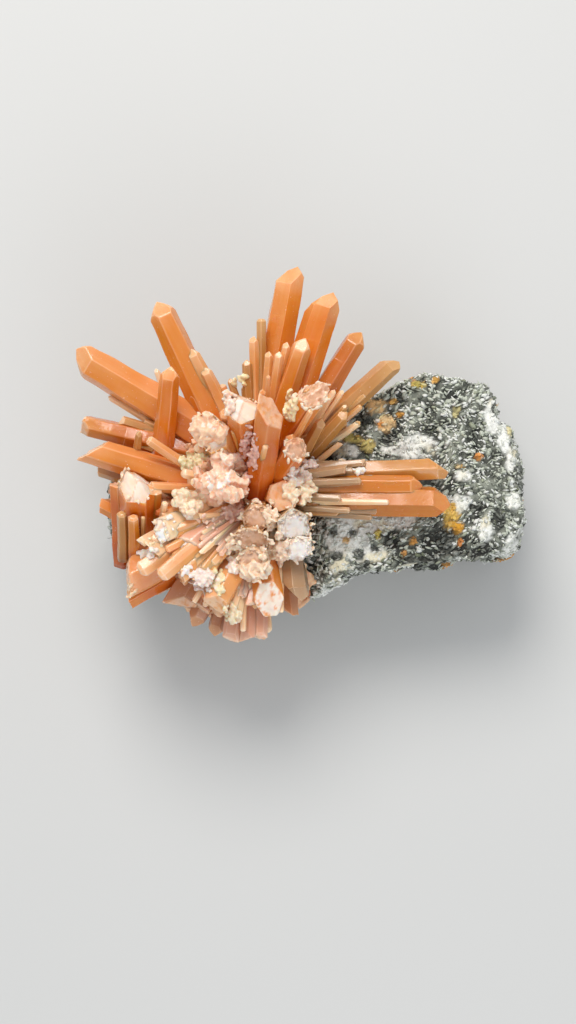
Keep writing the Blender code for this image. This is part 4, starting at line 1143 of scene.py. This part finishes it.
def undergrowth(tree, owners):
    """Small crystals that rise in the gaps between the large ones, each up to about its zone's height."""
    rng = np.random.default_rng(SEEDS["undergrowth"])
    centre = seen(*CRUST_CENTRE)
    found = []
    for middle, reach, height, count, widths, top, foot in UNDERGROWTHS:
        for across, down in spots(middle, reach, count, rng):
            place, _, hit = ray_hit(tree, across, down)
            gap = 0.0 if place is None or owners[hit] != "root_mass" else height - place.z / MM
            if gap < 0.8:
                continue
            direction = ((place - centre).normalized() + Vector(rng.normal(0.0, 0.2, 3))).normalized()
            if direction.z < 0.25:
                continue
            width = rng.uniform(*widths)
            long = min(3.0 * width, gap / direction.z * rng.uniform(0.5, 1.0))
            if tree.ray_cast(place + direction * (long * MM), FORWARD)[0] is None:
                continue
            found.append(Shard(place, direction, (width, width * rng.uniform(0.6, 1.0), long), top, foot))
    return found


def fringes():
    """Small crystals round the broken ends."""
    rng = np.random.default_rng(SEEDS["fringes"])
    found = []
    for placing, radius, flat, planes, each_mm in FRINGES:
        for _ in range(int(2.0 * math.pi * radius * each_mm)):
            turn = rng.uniform(0.0, 2.0 * math.pi)
            out = radius * rng.uniform(0.78, 0.98)
            spot = Vector((math.cos(turn) * out, math.sin(turn) * out))
            height = min(p.z - n.xy.dot(spot - p.xy) / n.z for p, n in planes)
            spot = Vector((spot.x, spot.y * flat, height - rng.uniform(0.1, 0.4)))
            away = Vector((math.cos(turn) * 0.6, math.sin(turn) * 0.6, 1.0))
            away += Vector(rng.normal(0.0, 0.3, 3))
            width = rng.uniform(0.18, 0.48)
            size = (width, width * rng.uniform(0.35, 0.8), width * rng.uniform(0.9, 1.6))
            found.append(Shard(placing @ (spot * MM), placing.to_3x3() @ away, size, *FRINGE_COLOURS))
    return found


def back_crust(mass):
    """Small crystals all over the root mass, for the sides that the front view doesn't show."""
    rng = np.random.default_rng(SEEDS["back_crust"])
    centre = np.array(seen(*CRUST_CENTRE))
    places, normals = sample(*mass.arrays(), BACK_TRIED, rng)
    open_air = (places[:, 2] / MM > rock_heights(places) + 0.3) & (normals @ -np.array(FORWARD) < 0.55)
    found = []
    for place, normal in zip(places[open_air], normals[open_air]):
        away = (place - centre) / np.linalg.norm(place - centre) + 0.7 * normal + rng.normal(0.0, 0.3, 3)
        width = rng.uniform(0.3, 0.95)
        size = (width, width * rng.uniform(0.6, 1.0), width * rng.uniform(0.9, 1.8))
        found.append(Shard(place, away, size, *BACK_COLOURS))
    return found


def druse(piece, crystals, voxel, seed):
    """Fuses many small broken crystals into one skin, with painted shade: pale at their tops, darker in the
    hollows.
    """
    rng = np.random.default_rng(seed)
    shapes = shards(SHARD_KINDS, random.Random(seed))
    places, directions, sizes, tops, shaded_feet = (np.array([tuple(c) for c in part]) for part in zip(*crystals))
    tops, shaded_feet = linear(tops), linear(shaded_feet)
    directions = unit(directions)
    frames = frames_along(directions, rng)
    kinds = rng.integers(0, SHARD_KINDS, len(crystals))
    single = Piece("single_crystals")
    for number, shape in enumerate(shapes):
        chosen = kinds == number
        scatter(single, shape, places[chosen], frames[chosen], sizes[chosen], tops[chosen], 0.0, rng)
    points, triangles = remeshed(*single.arrays(), voxel)
    push = layered(points, (0.05, 1.8, 3.0), (0.03, 4.0, 8.0))
    points = points + area_normals(points, triangles) * (push * MM)[:, None]
    middles = places + directions * sizes[:, 2:] * 0.5 * MM
    nearest = KDTree(len(middles))
    for number, middle in enumerate(middles):
        nearest.insert(middle, number)
    nearest.balance()
    owner = np.array([nearest.find(point)[1] for point in points])
    rise = np.sum((points - places[owner]) * directions[owner], axis=1) / (sizes[owner, 2] * MM)
    # Painted shade: darker towards each small crystal's foot and in hollows, paler at its top and where it
    # stands out
    share = 0.65 * smooth(-0.1, 0.9, rise) + 0.35 * smooth(-0.12, 0.25, convexity(points, triangles))
    brightness = rng.uniform(0.92, 1.04, len(middles))[owner][:, None]
    tints = mix(shaded_feet[owner], tops[owner], share[:, None]) * brightness
    piece.add(points, triangles, np.minimum(1.0, tints), 0.3 + 0.4 * share)


def convexity(points, triangles):
    """How far each point stands out from its neighbours, as a share of their distance."""
    total = np.zeros_like(points)
    count, span = np.zeros(len(points)), np.zeros(len(points))
    for first, second in ((0, 1), (1, 2), (2, 0)):
        ends = triangles[:, first], triangles[:, second]
        away = np.linalg.norm(points[ends[0]] - points[ends[1]], axis=1)
        for here, there in (ends, ends[::-1]):
            np.add.at(total, here, points[there])
            np.add.at(span, here, away)
            np.add.at(count, here, 1.0)
    count = np.maximum(count, 1.0)
    outward = np.sum((points - total / count[:, None]) * area_normals(points, triangles), axis=1)
    return outward / (span / count)


def side_stubs(piece, mass, tree):
    """Small crystals on the root mass, where nothing of them shows from the front."""
    rng = np.random.default_rng(SEEDS["side_stubs"])
    places, normals = sample(*mass.arrays(), STUBS_TRIED, rng)
    leaning = unit(places - np.array(seen(-6.0, -1.5, 15.0))) * 1.3 + normals
    leaning = unit(leaning + rng.normal(0.0, 0.2, leaning.shape))
    width = rng.uniform(0.7, 1.9, len(places))
    long = width * rng.uniform(1.2, 2.4, len(places))
    keep = (places[:, 2] / MM > rock_heights(places) + 0.5) & (normals @ -np.array(FORWARD) < 0.3)
    for number in np.flatnonzero(keep):
        tip = Vector(places[number] + leaning[number] * long[number] * 1.3 * MM)
        keep[number] = tree.ray_cast(tip, -FORWARD)[0] is not None
    places, normals, leaning, width, long = (a[keep] for a in (places, normals, leaning, width, long))
    sizes = np.stack((width, width, long), axis=1)
    tints = mix(*linear(STUB_TONES), rng.uniform(size=(len(places), 1)))
    scatter(piece, stub(), places - normals * 0.4 * MM, frames_along(leaning, rng), sizes, tints, 0.2, rng)


# Rock

# Patches on the rock's face: middle and reach in the photograph's pixels
WHITE_PATCHES = (
    ((416, 446), (21, 13)), ((396, 448), (14, 9)), ((343, 427), (12, 11)), ((345, 450), (16, 7)),
    ((494, 418), (10, 17)), ((504, 436), (7, 16)), ((514, 459), (8, 14)), ((514, 500), (8, 9)),
    ((486, 530), (8, 12)), ((513, 546), (7, 13)), ((464, 475), (9, 6)), ((459, 503), (12, 9)),
    ((371, 523), (44, 9)), ((346, 540), (22, 16)), ((367, 553), (26, 9)), ((404, 520), (14, 7)),
    ((341, 566), (12, 8)), ((487, 386), (4, 5)), ((446, 500), (8, 7)), ((340, 437), (13, 10)),
)
OCHRE_PATCHES = (
    ((376, 406), (10, 8), (250, 208, 146)), ((386, 423), (9, 9), (250, 214, 160)),
    ((380, 424), (4, 4), (226, 150, 66)), ((352, 438), (9, 5), (220, 200, 112)),
    ((367, 446), (9, 6), (226, 206, 126)), ((400, 414), (4, 3), (236, 166, 60)),
    ((414, 383), (3, 3), (216, 142, 66)), ((436, 380), (4, 3), (226, 170, 76)),
    ((456, 410), (4, 6), (226, 214, 150)), ((479, 457), (4, 3), (226, 144, 52)),
    ((461, 466), (5, 2), (232, 176, 80)), ((451, 518), (8, 12), (240, 196, 92)),
    ((458, 527), (6, 7), (232, 168, 50)), ((460, 543), (3, 4), (212, 130, 50)),
    ((413, 540), (3, 4), (222, 158, 66)), ((378, 534), (3, 5), (214, 190, 80)),
    ((346, 540), (4, 3), (216, 172, 110)), ((404, 553), (3, 3), (226, 160, 80)),
    ((510, 430), (3, 8), (230, 220, 168)), ((394, 401), (4, 3), (206, 156, 70)),
    ((419, 384), (6, 3), (206, 186, 90)),
)
# Dark patches: partly the rock's own dark grains, partly painted shade along its lower edge and under the
# crystals
DARK_AND_SHADE_PATCHES = (
    ((388, 436), (10, 9)), ((363, 422), (10, 8)), ((432, 481), (13, 5)), ((476, 506), (8, 7)),
    ((440, 534), (22, 10)), ((483, 552), (22, 10)), ((358, 554), (6, 6)), ((391, 542), (7, 6)),
    ((519, 478), (6, 14)), ((452, 552), (20, 8)), ((498, 518), (8, 12)), ((420, 560), (30, 8)),
    ((337, 556), (6, 5)), ((402, 402), (8, 6)), ((344, 574), (7, 5)), ((352, 532), (5, 4)),
    ((366, 566), (7, 5)), ((334, 532), (4, 5)), ((375, 548), (5, 4)), ((425, 452), (4, 3)),
)
# Colours of the rock: plain from dark to pale, in the dark patches, which are partly painted shade, in the
# painted shade of its hollows, and of the ochre without a patch
ROCK_TONES = ((50, 52, 46), (150, 154, 142))
ROCK_DARK_AND_SHADE = (26, 26, 23)
ROCK_HOLLOW_SHADE = (26, 25, 22)
ROCK_OCHRE = (214, 150, 60)
# Colours of its white patches: plain, of their specks, and where they are creamy
CHALK = (252, 252, 246)
CHALK_SPECK = (110, 112, 100)
CHALK_CREAM = (244, 232, 186)


def patch_share(pixels, middle, reach, waver):
    """How much a patch covers each place, from 0 to 1, with an uneven edge."""
    away = np.hypot((pixels[:, 0] - middle[0]) / reach[0], (pixels[:, 1] - middle[1]) / reach[1])
    return smooth(1.15, 0.8, away + waver)


def rock_zones(points, normals):
    """The shares of white, ochre and dark, which is partly painted shade, at places on the rock, and the
    ochre's colour there.
    """
    pixels = pixels_of(points)
    face = smooth(0.2, 0.6, normals[:, 2])
    waver = layered(points, (0.35, 0.8, 5.0), (0.25, 2.0, 9.0))
    white = np.zeros(len(points))
    for middle, reach in WHITE_PATCHES:
        white = np.maximum(white, patch_share(pixels, middle, reach, waver) * face)
    dark = np.zeros(len(points))
    for middle, reach in DARK_AND_SHADE_PATCHES:
        dark = np.maximum(dark, patch_share(pixels, middle, reach, waver * 1.3) * face)
    white = white * (1.0 - 0.85 * dark)
    ochre = np.zeros(len(points))
    stain = np.broadcast_to(linear(ROCK_OCHRE), (len(points), 3)).copy()
    for middle, reach, colour in OCHRE_PATCHES:
        share = patch_share(pixels, middle, reach, waver * 1.2) * face
        stain = mix(stain, linear(colour), share[:, None])
        ochre = np.maximum(ochre, share)
    sides = 1.0 - face
    white = np.maximum(white, sides * smooth(0.16, 0.34, noises(points, 0.13, 31.0) + 0.6 * waver))
    darkness = smooth(0.05, 0.3, noises(points, 0.17, 47.0) + 0.3 * waver)
    dark = np.maximum(dark, sides * darkness * (1.0 - white))
    ochre = np.maximum(ochre, sides * smooth(0.46, 0.62, noises(points, 0.3, 61.0) + 0.3 * waver))
    return white, ochre, dark, stain


def rock_base(piece):
    """The rock under its flakes: the solid's own shape, made rough."""
    points, triangles = remeshed(*read_mesh(frame["nodes"]["matrix_rock"].data), ROCK_VOXEL)
    normals = area_normals(points, triangles)
    white, ochre, dark, stain = rock_zones(points, normals)
    rough = layered(points, (0.3, 0.35, 6.0), (0.34, 0.75, 0.0), (0.26, 1.5, 4.0), (0.16, 3.0, 8.0))
    push = -0.16 + rough * (1.0 - 0.4 * white) + 0.14 * white - 0.22 * dark + 0.3 * ochre
    push = push * smooth(0.1, 1.6, points[:, 2] / MM)
    points = points + normals * (push * MM)[:, None]
    points[:, 2] = np.maximum(points[:, 2], 0.0)
    shade = smooth(-0.5, 0.5, noises(points, 0.35, 2.0) + 0.6 * noises(points, 1.6, 6.0))[:, None]
    tints = mix(*linear(ROCK_TONES), shade)
    # Dark patches, partly painted shade
    tints = mix(tints, linear(ROCK_DARK_AND_SHADE), (dark * 0.8)[:, None])
    speck = smooth(0.25, 0.5, noises(points, 1.7, 13.0))[:, None]
    chalk = mix(linear(CHALK), linear(CHALK_SPECK), speck * 0.5)
    creamy = smooth(0.05, 0.4, noises(points, 0.3, 71.0))[:, None]
    chalk = mix(chalk, linear(CHALK_CREAM), creamy * 0.6)
    tints = mix(tints, chalk, white[:, None])
    tints = mix(tints, stain * (0.8 + 0.3 * shade), ochre[:, None])
    # Painted shade: the hollows of the rough surface are darkened, less so in the white patches
    hollow_shade = smooth(0.1, -0.5, rough / 0.5)[:, None] * (1.0 - 0.9 * white)[:, None]
    piece.add(points, triangles, mix(tints, linear(ROCK_HOLLOW_SHADE), hollow_shade * 0.7), 1.0)
    return points, triangles


def flake():
    """A thin lens-shaped flake, longest along X: a rim of eight points and one point over and under it."""
    turns = np.linspace(0.0, 2.0 * np.pi, 8, endpoint=False)
    rim = np.stack((np.cos(turns), np.sin(turns), 0.0 * turns), axis=1)
    points = np.concatenate((rim, [(0.0, 0.0, 1.0), (0.0, 0.0, -1.0)]))
    triangles = []
    for number in range(8):
        after = (number + 1) % 8
        triangles += [(number, after, 8), (after, number, 9)]
    return points, np.array(triangles)


# Flakes are left out where crystals are this near over the rock in both directions
COVER_WAYS = ((0.0, 0.0, 1.0), (0.0, -0.5, 0.8))
COVER_REACH = 5.0
# Colours of the flakes: from the darkest to the palest, in the dark patches that are partly painted shade
# and in white patches, and of a few others
FLAKE_TONES = ((86, 90, 80), (194, 199, 184), (242, 245, 234))
FLAKE_DARK_AND_SHADE = (40, 40, 35)
FLAKE_CHALK = (232, 236, 228)
FLAKE_GREENISH = (120, 128, 88)
GRAIN_TONES = ((226, 228, 216), (250, 251, 247))
FLAKES_EACH = 12500
GRAINS_TRIED = 15000


def on_walls(places, normals):
    """Whether places are on the rock's face or walls, and not on its underside."""
    return (places[:, 2] > 0.5 * MM) & (normals[:, 2] > -0.6)


def flake_places(base, count, tree, rng):
    """Places for flakes, their normals and the rock's zones there, but not under the crystals' seat."""
    places, normals = sample(*base, count, rng)
    white, ochre, dark, stain = rock_zones(places, normals)
    keep = on_walls(places, normals)
    keep &= rng.uniform(size=count) > 0.86 * white
    keep &= rng.uniform(size=count) > 0.9 * ochre
    for number in np.flatnonzero(keep & (normals[:, 2] > 0.3)):
        place = Vector(places[number])
        covers = (tree.ray_cast(place, Vector(way), COVER_REACH * MM)[0] for way in COVER_WAYS)
        keep[number] = any(cover is None for cover in covers)
    return tuple(a[keep] for a in (places, normals, white, ochre, dark, stain))


def flake_frames(places, normals, rng):
    """A frame for each flake: nearly flat on the rock, and along a grain that bends over its face."""
    tilted = unit(normals + rng.normal(0.0, 0.42, normals.shape))
    bend = 1.4 * noises(places, 0.16, 37.0)
    grain = np.stack((np.cos(bend), np.sin(bend) + 0.12, 0.0 * bend), axis=1)
    grain = grain + rng.normal(0.0, 0.35, places.shape)
    along = unit(grain - tilted * np.sum(grain * tilted, axis=1, keepdims=True))
    return np.stack((along, np.cross(tilted, along), tilted), axis=2)


def flake_tints(places, white, ochre, dark, stain, rng):
    count = len(places)
    patch = layered(places, (0.28, 0.3, 19.0), (0.2, 0.9, 29.0))
    tone = np.clip(rng.uniform(0.0, 1.0, count) + patch, 0.0, 1.0)[:, None]
    darkest, middling, palest = linear(FLAKE_TONES)
    tints = mix(darkest, middling, smooth(0.0, 0.42, tone))
    tints = mix(tints, palest, smooth(0.5, 0.9, tone))
    # Dark patches, partly painted shade
    tints = mix(tints, linear(FLAKE_DARK_AND_SHADE), (dark * 0.74)[:, None])
    tints = mix(tints, linear(FLAKE_CHALK), (white * 0.55)[:, None])
    tints = mix(tints, stain, (ochre * rng.uniform(0.3, 1.0, count))[:, None])
    return mix(tints, linear(FLAKE_GREENISH), (rng.uniform(size=count) < 0.08)[:, None] * 0.5)


def rock_flakes(piece, base, count, tree):
    """Overlapping flakes all over the rock but its underside and the crystals' seat, paler at their rims."""
    rng = np.random.default_rng(SEEDS[piece.name])
    places, normals, *zones = flake_places(base, count, tree, rng)
    count = len(places)
    frames = flake_frames(places, normals, rng)
    length = 0.24 + 0.46 * rng.uniform(size=count) ** 2.0
    width = length * rng.uniform(0.34, 0.62, count)
    sizes = np.stack((length, width, rng.uniform(0.08, 0.17, count)), axis=1)
    tints = flake_tints(places, *zones, rng)
    lifted = places + normals * (rng.uniform(-0.05, 0.16, count) * MM)[:, None]
    scatter(piece, flake(), lifted, frames, sizes, tints, 0.0, rng, 0.16)
    rim = np.tile(np.concatenate((np.ones(8), np.zeros(2))), count)[:, None]
    piece.tints[-1] = mix(piece.tints[-1], np.minimum(1.0, piece.tints[-1] * 1.5 + 0.04), rim * 0.8)


def rock_grains(piece, base):
    """Small white and ochre grains in the rock's patches, and a few all over it."""
    rng = np.random.default_rng(SEEDS[piece.name])
    places, normals = sample(*base, GRAINS_TRIED, rng)
    white, ochre, _, stain = rock_zones(places, normals)
    keep = rng.uniform(size=len(places)) < np.maximum(0.05, np.maximum(white * 0.6, ochre))
    keep &= on_walls(places, normals)
    places, normals, ochre, stain = (a[keep] for a in (places, normals, ochre, stain))
    count = len(places)
    size = rng.uniform(0.1, 0.34, count)[:, None] * rng.uniform(0.7, 1.2, (count, 3))
    tints = mix(*linear(GRAIN_TONES), rng.uniform(size=(count, 1)))
    tints = mix(tints, stain * rng.uniform(0.75, 1.25, (count, 1)), (ochre > 0.3)[:, None] * 0.95)
    shape = shards(1, random.Random(SEEDS["grain_shape"]))[0]
    frames = frames_along(normals + rng.normal(0.0, 0.5, normals.shape), rng)
    scatter(piece, shape, places, frames, size, np.clip(tints, 0.0, 1.0), 0.9, rng, 0.15)


# Materials

QUARTZ_IOR = 1.54
EVEN = (1.0, 1.0, 1.0)
# Colours that are mixed into the tints of the points
QUARTZ_STREAK = (1.0, 0.7, 0.4, 1.0)
QUARTZ_CLOUD = (0.92, 0.5, 0.12, 1.0)
QUARTZ_SPECK = (0.95, 0.86, 0.78, 1.0)
CRUST_CLOUD = (0.85, 0.6, 0.42, 1.0)
ROCK_SPECKLE = (0.4, 0.4, 0.36, 1.0)
ROCK_GLINT = (0.62, 0.65, 0.58, 1.0)
FLOOR_GREY = (0.62, 0.62, 0.61, 1.0)


def fill_in(tree, made, values):
    """Links or sets the inputs of a node."""
    for key, value in values.items():
        if isinstance(value, bpy.types.NodeSocket):
            tree.links.new(value, made.inputs[key])
        else:
            made.inputs[key].default_value = value


def node(tree, kind, inputs=None, **settings):
    made = tree.nodes.new(kind)
    for key, value in settings.items():
        setattr(made, key, value)
    fill_in(tree, made, inputs or {})
    return made


def new_material(name):
    material = bpy.data.materials.new(name)
    material.use_nodes = True
    return material, material.node_tree, material.node_tree.nodes["Principled BSDF"]


def attribute(tree, name, output):
    return node(tree, "ShaderNodeAttribute", attribute_name=name).outputs[output]


def stretched_noise(tree, place, stretch, scale, detail, roughness=0.55):
    moved = node(tree, "ShaderNodeMapping", {"Vector": place, "Scale": stretch}).outputs["Vector"]
    inputs = {"Vector": moved, "Scale": scale, "Detail": detail, "Roughness": roughness}
    return node(tree, "ShaderNodeTexNoise", inputs).outputs["Fac"]


def ranged(tree, value, low, high, new_low, new_high):
    inputs = {"Value": value, "From Min": low, "From Max": high, "To Min": new_low, "To Max": new_high}
    return node(tree, "ShaderNodeMapRange", inputs).outputs["Result"]


def mixed(tree, share, first, second, blend="MIX"):
    inputs = {"Factor": share, 6: first, 7: second}
    return node(tree, "ShaderNodeMix", inputs, data_type="RGBA", blend_type=blend).outputs[2]


def maths(tree, operation, first, second):
    made = node(tree, "ShaderNodeMath", {0: first, 1: second}, operation=operation, use_clamp=True)
    return made.outputs[0]


def bumped(tree, height, strength, distance=0.0002, **normal):
    inputs = {"Strength": strength, "Distance": distance, "Height": height, **normal}
    return node(tree, "ShaderNodeBump", inputs).outputs["Normal"]


def quartz_material():
    material, tree, shader = new_material("orange_quartz_crystal")
    tint, frost = attribute(tree, "tint", "Color"), attribute(tree, "frost", "Fac")
    clear, grain = attribute(tree, "clear", "Fac"), attribute(tree, "grain", "Vector")
    streaks = stretched_noise(tree, grain, (1.0, 1.0, 0.05), 1.6, 2.0)
    clouds = stretched_noise(tree, grain, (1.0, 1.0, 0.45), 0.5, 2.0)
    specks = stretched_noise(tree, grain, (1.0, 1.0, 0.6), 5.5, 2.0, 0.4)
    ridges = stretched_noise(tree, grain, (1.0, 1.0, 0.03), 4.0, 2.0)
    pits = stretched_noise(tree, grain, EVEN, 3.0, 3.0)
    colour = mixed(tree, ranged(tree, streaks, 0.35, 0.7, 0.0, 0.06), tint, QUARTZ_STREAK)
    colour = mixed(tree, ranged(tree, clouds, 0.4, 0.75, 0.0, 0.22), colour, QUARTZ_CLOUD, "MULTIPLY")
    colour = mixed(tree, ranged(tree, specks, 0.71, 0.77, 0.0, 0.5), colour, QUARTZ_SPECK)
    polish = ranged(tree, clouds, 0.3, 0.7, 0.13, 0.28)
    fill_in(tree, shader, {
        "Base Color": colour,
        "Roughness": maths(tree, "ADD", polish, maths(tree, "MULTIPLY", frost, 0.4)),
        "Transmission Weight": clear,
        "Normal": bumped(tree, pits, 0.12, Normal=bumped(tree, ridges, 0.05)),
        "IOR": QUARTZ_IOR,
        "Coat Weight": 0.35,
        "Coat Roughness": 0.08,
        "Subsurface Weight": 0.75,
        "Subsurface Radius": (1.0, 0.8, 0.55),
        "Subsurface Scale": 0.00035,
    })
    return material


def crust_material():
    material, tree, shader = new_material("quartz_crust")
    tint, frost = attribute(tree, "tint", "Color"), attribute(tree, "frost", "Fac")
    grain = attribute(tree, "grain", "Vector")
    clouds = stretched_noise(tree, grain, EVEN, 1.4, 4.0)
    pits = stretched_noise(tree, grain, EVEN, 6.0, 4.0)
    shade = ranged(tree, clouds, 0.35, 0.7, 0.0, 0.25)
    polish = ranged(tree, clouds, 0.3, 0.7, 0.2, 0.36)
    fill_in(tree, shader, {
        "Base Color": mixed(tree, shade, tint, CRUST_CLOUD, "MULTIPLY"),
        "Roughness": maths(tree, "ADD", maths(tree, "MULTIPLY", frost, 0.35), polish),
        "Normal": bumped(tree, pits, 0.35),
        "IOR": QUARTZ_IOR,
        "Subsurface Weight": 0.8,
        "Subsurface Radius": (1.0, 0.7, 0.5),
        "Subsurface Scale": 0.0004,
    })
    return material


def rock_material(name, roughest):
    material, tree, shader = new_material(name)
    tint, grain = attribute(tree, "tint", "Color"), attribute(tree, "grain", "Vector")
    speckle = stretched_noise(tree, grain, EVEN, 3.0, 5.0, 0.7)
    glint = stretched_noise(tree, grain, EVEN, 4.5, 2.0)
    bumps = stretched_noise(tree, grain, EVEN, 5.0, 5.0, 0.65)
    colour = mixed(tree, ranged(tree, speckle, 0.45, 0.75, 0.0, 0.5), tint, ROCK_SPECKLE, "MULTIPLY")
    fill_in(tree, shader, {
        "Base Color": mixed(tree, ranged(tree, glint, 0.62, 0.75, 0.0, 0.5), colour, ROCK_GLINT),
        "Roughness": ranged(tree, speckle, 0.3, 0.7, roughest - 0.35, roughest),
        "Normal": bumped(tree, bumps, 0.5, 0.0003),
    })
    return material


def floor_material():
    material, tree, shader = new_material("pale_floor")
    fill_in(tree, shader, {"Base Color": FLOOR_GREY, "Roughness": 0.85})
    return material


# Stage

# Lamps: name, place in metres, watts, size and colour
LAMPS = (
    ("key", (-0.06, 0.24, 0.34), 1.25, 0.24, (1.0, 0.97, 0.93)),
    ("fill", (0.12, -0.32, 0.22), 0.4, 0.3, (0.93, 0.96, 1.0)),
)
LAMP_AIM = (0.0, 0.0, 0.015)
SKY_COLOUR = (0.94, 0.97, 1.0, 1.0)
SKY_STRENGTH = 0.6
FLOOR_SIZE = 1.5
FLOOR_LEVEL = -0.0001
NEAREST_SEEN = 0.01
FURTHEST_SEEN = 10.0


def add_camera():
    data = bpy.data.cameras.new("camera")
    data.sensor_width = SENSOR
    data.lens = VIEW_DISTANCE * PIXELS_PER_MM / PICTURE_SIZE[1] * SENSOR
    data.clip_start = NEAREST_SEEN
    data.clip_end = FURTHEST_SEEN
    camera = bpy.data.objects.new("camera", data)
    bpy.context.scene.collection.objects.link(camera)
    camera.location = (EYE - Vector(MIDDLE)) * MM
    camera.rotation_euler = FORWARD.to_track_quat("-Z", "Y").to_euler()
    bpy.context.scene.camera = camera


def add_light(name, place, watts, size, colour):
    data = bpy.data.lights.new(name, "AREA")
    data.shape = "DISK"
    data.size = size
    data.energy = watts
    data.color = colour
    light = bpy.data.objects.new(name, data)
    bpy.context.scene.collection.objects.link(light)
    light.location = place
    light.rotation_euler = (Vector(LAMP_AIM) - Vector(place)).to_track_quat("-Z", "Y").to_euler()


def add_floor():
    bm = bmesh.new()
    bmesh.ops.create_grid(bm, x_segments=1, y_segments=1, size=FLOOR_SIZE)
    mesh = bpy.data.meshes.new("floor")
    bm.to_mesh(mesh)
    bm.free()
    mesh.materials.append(floor_material())
    floor = bpy.data.objects.new("floor", mesh)
    floor.location.z = FLOOR_LEVEL
    bpy.context.scene.collection.objects.link(floor)


def add_studio_light():
    world = bpy.data.worlds.new("studio")
    world.use_nodes = True
    background = world.node_tree.nodes["Background"]
    background.inputs["Color"].default_value = SKY_COLOUR
    background.inputs["Strength"].default_value = SKY_STRENGTH
    bpy.context.scene.world = world
    for lamp in LAMPS:
        add_light(*lamp)
    bpy.context.scene.view_settings.view_transform = "Standard"


# The whole piece

FANS = {
    "upper_crystals": upper_fan,
    "left_crystals": left_fan,
    "lower_left_crystals": lower_left_fan,
    "lower_crystals": lower_fan,
    "middle_crystals": centre_fan,
    "crystal_heads": heads_fan,
    "right_crystals": right_fan,
}


def make_spray():
    """The spray's pieces, each with its material and kind of faces, and a tree of the crystals."""
    quartz, crusty = quartz_material(), crust_material()
    fans = [Piece(name) for name in FANS]
    for fan in fans:
        FANS[fan.name](fan)
    mass, crust, filling, behind, stubs = (
        Piece(name) for name in ("root_mass", "crust", "undergrowth", "back_crust", "side_stubs"))
    root_mass(mass)
    tree, owners = tree_of(mass, OVERGROWTHS, *fans)
    druse(crust, front_crust(tree, owners) + fringes(), CRUST_VOXEL, SEEDS["crust_skin"])
    druse(filling, undergrowth(tree, owners), UNDERGROWTH_VOXEL, SEEDS["undergrowth_skin"])
    druse(behind, back_crust(mass), BACK_CRUST_VOXEL, SEEDS["back_crust_skin"])
    side_stubs(stubs, mass, tree)
    pieces = [(piece, quartz, "even") for piece in (*fans, OVERGROWTHS)]
    pieces += [(mass, crusty, "even"), *((piece, crusty, "smooth") for piece in (crust, filling, behind))]
    return pieces + [(stubs, quartz, "flat")], tree


def make_rock(tree):
    """The rock's pieces, each with its material and kind of faces."""
    rock, grains = Piece("rock"), Piece("rock_grains")
    flakes = [Piece("rock_flakes_1"), Piece("rock_flakes_2")]
    base = rock_base(rock)
    for piece in flakes:
        rock_flakes(piece, base, FLAKES_EACH, tree)
    rock_grains(grains, base)
    stony, flaky = rock_material("grey_rock_base", 0.95), rock_material("grey_rock_flakes", 0.68)
    return [(rock, stony, "even"), *((piece, flaky, "even") for piece in flakes), (grains, flaky, "flat")]


def build_all(pieces, slot):
    """Makes the pieces' meshes, and gives their objects by name."""
    return {piece.name: piece.build(material, slot, faces) for piece, material, faces in pieces}


spray, crystal_tree = make_spray()
stone = make_rock(crystal_tree)
crystals = build_all(spray, "orange_quartz")
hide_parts("crystal_spray")
rocks = build_all(stone, "grey_rock")
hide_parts("matrix_rock")
add_camera()
add_floor()
add_studio_light()
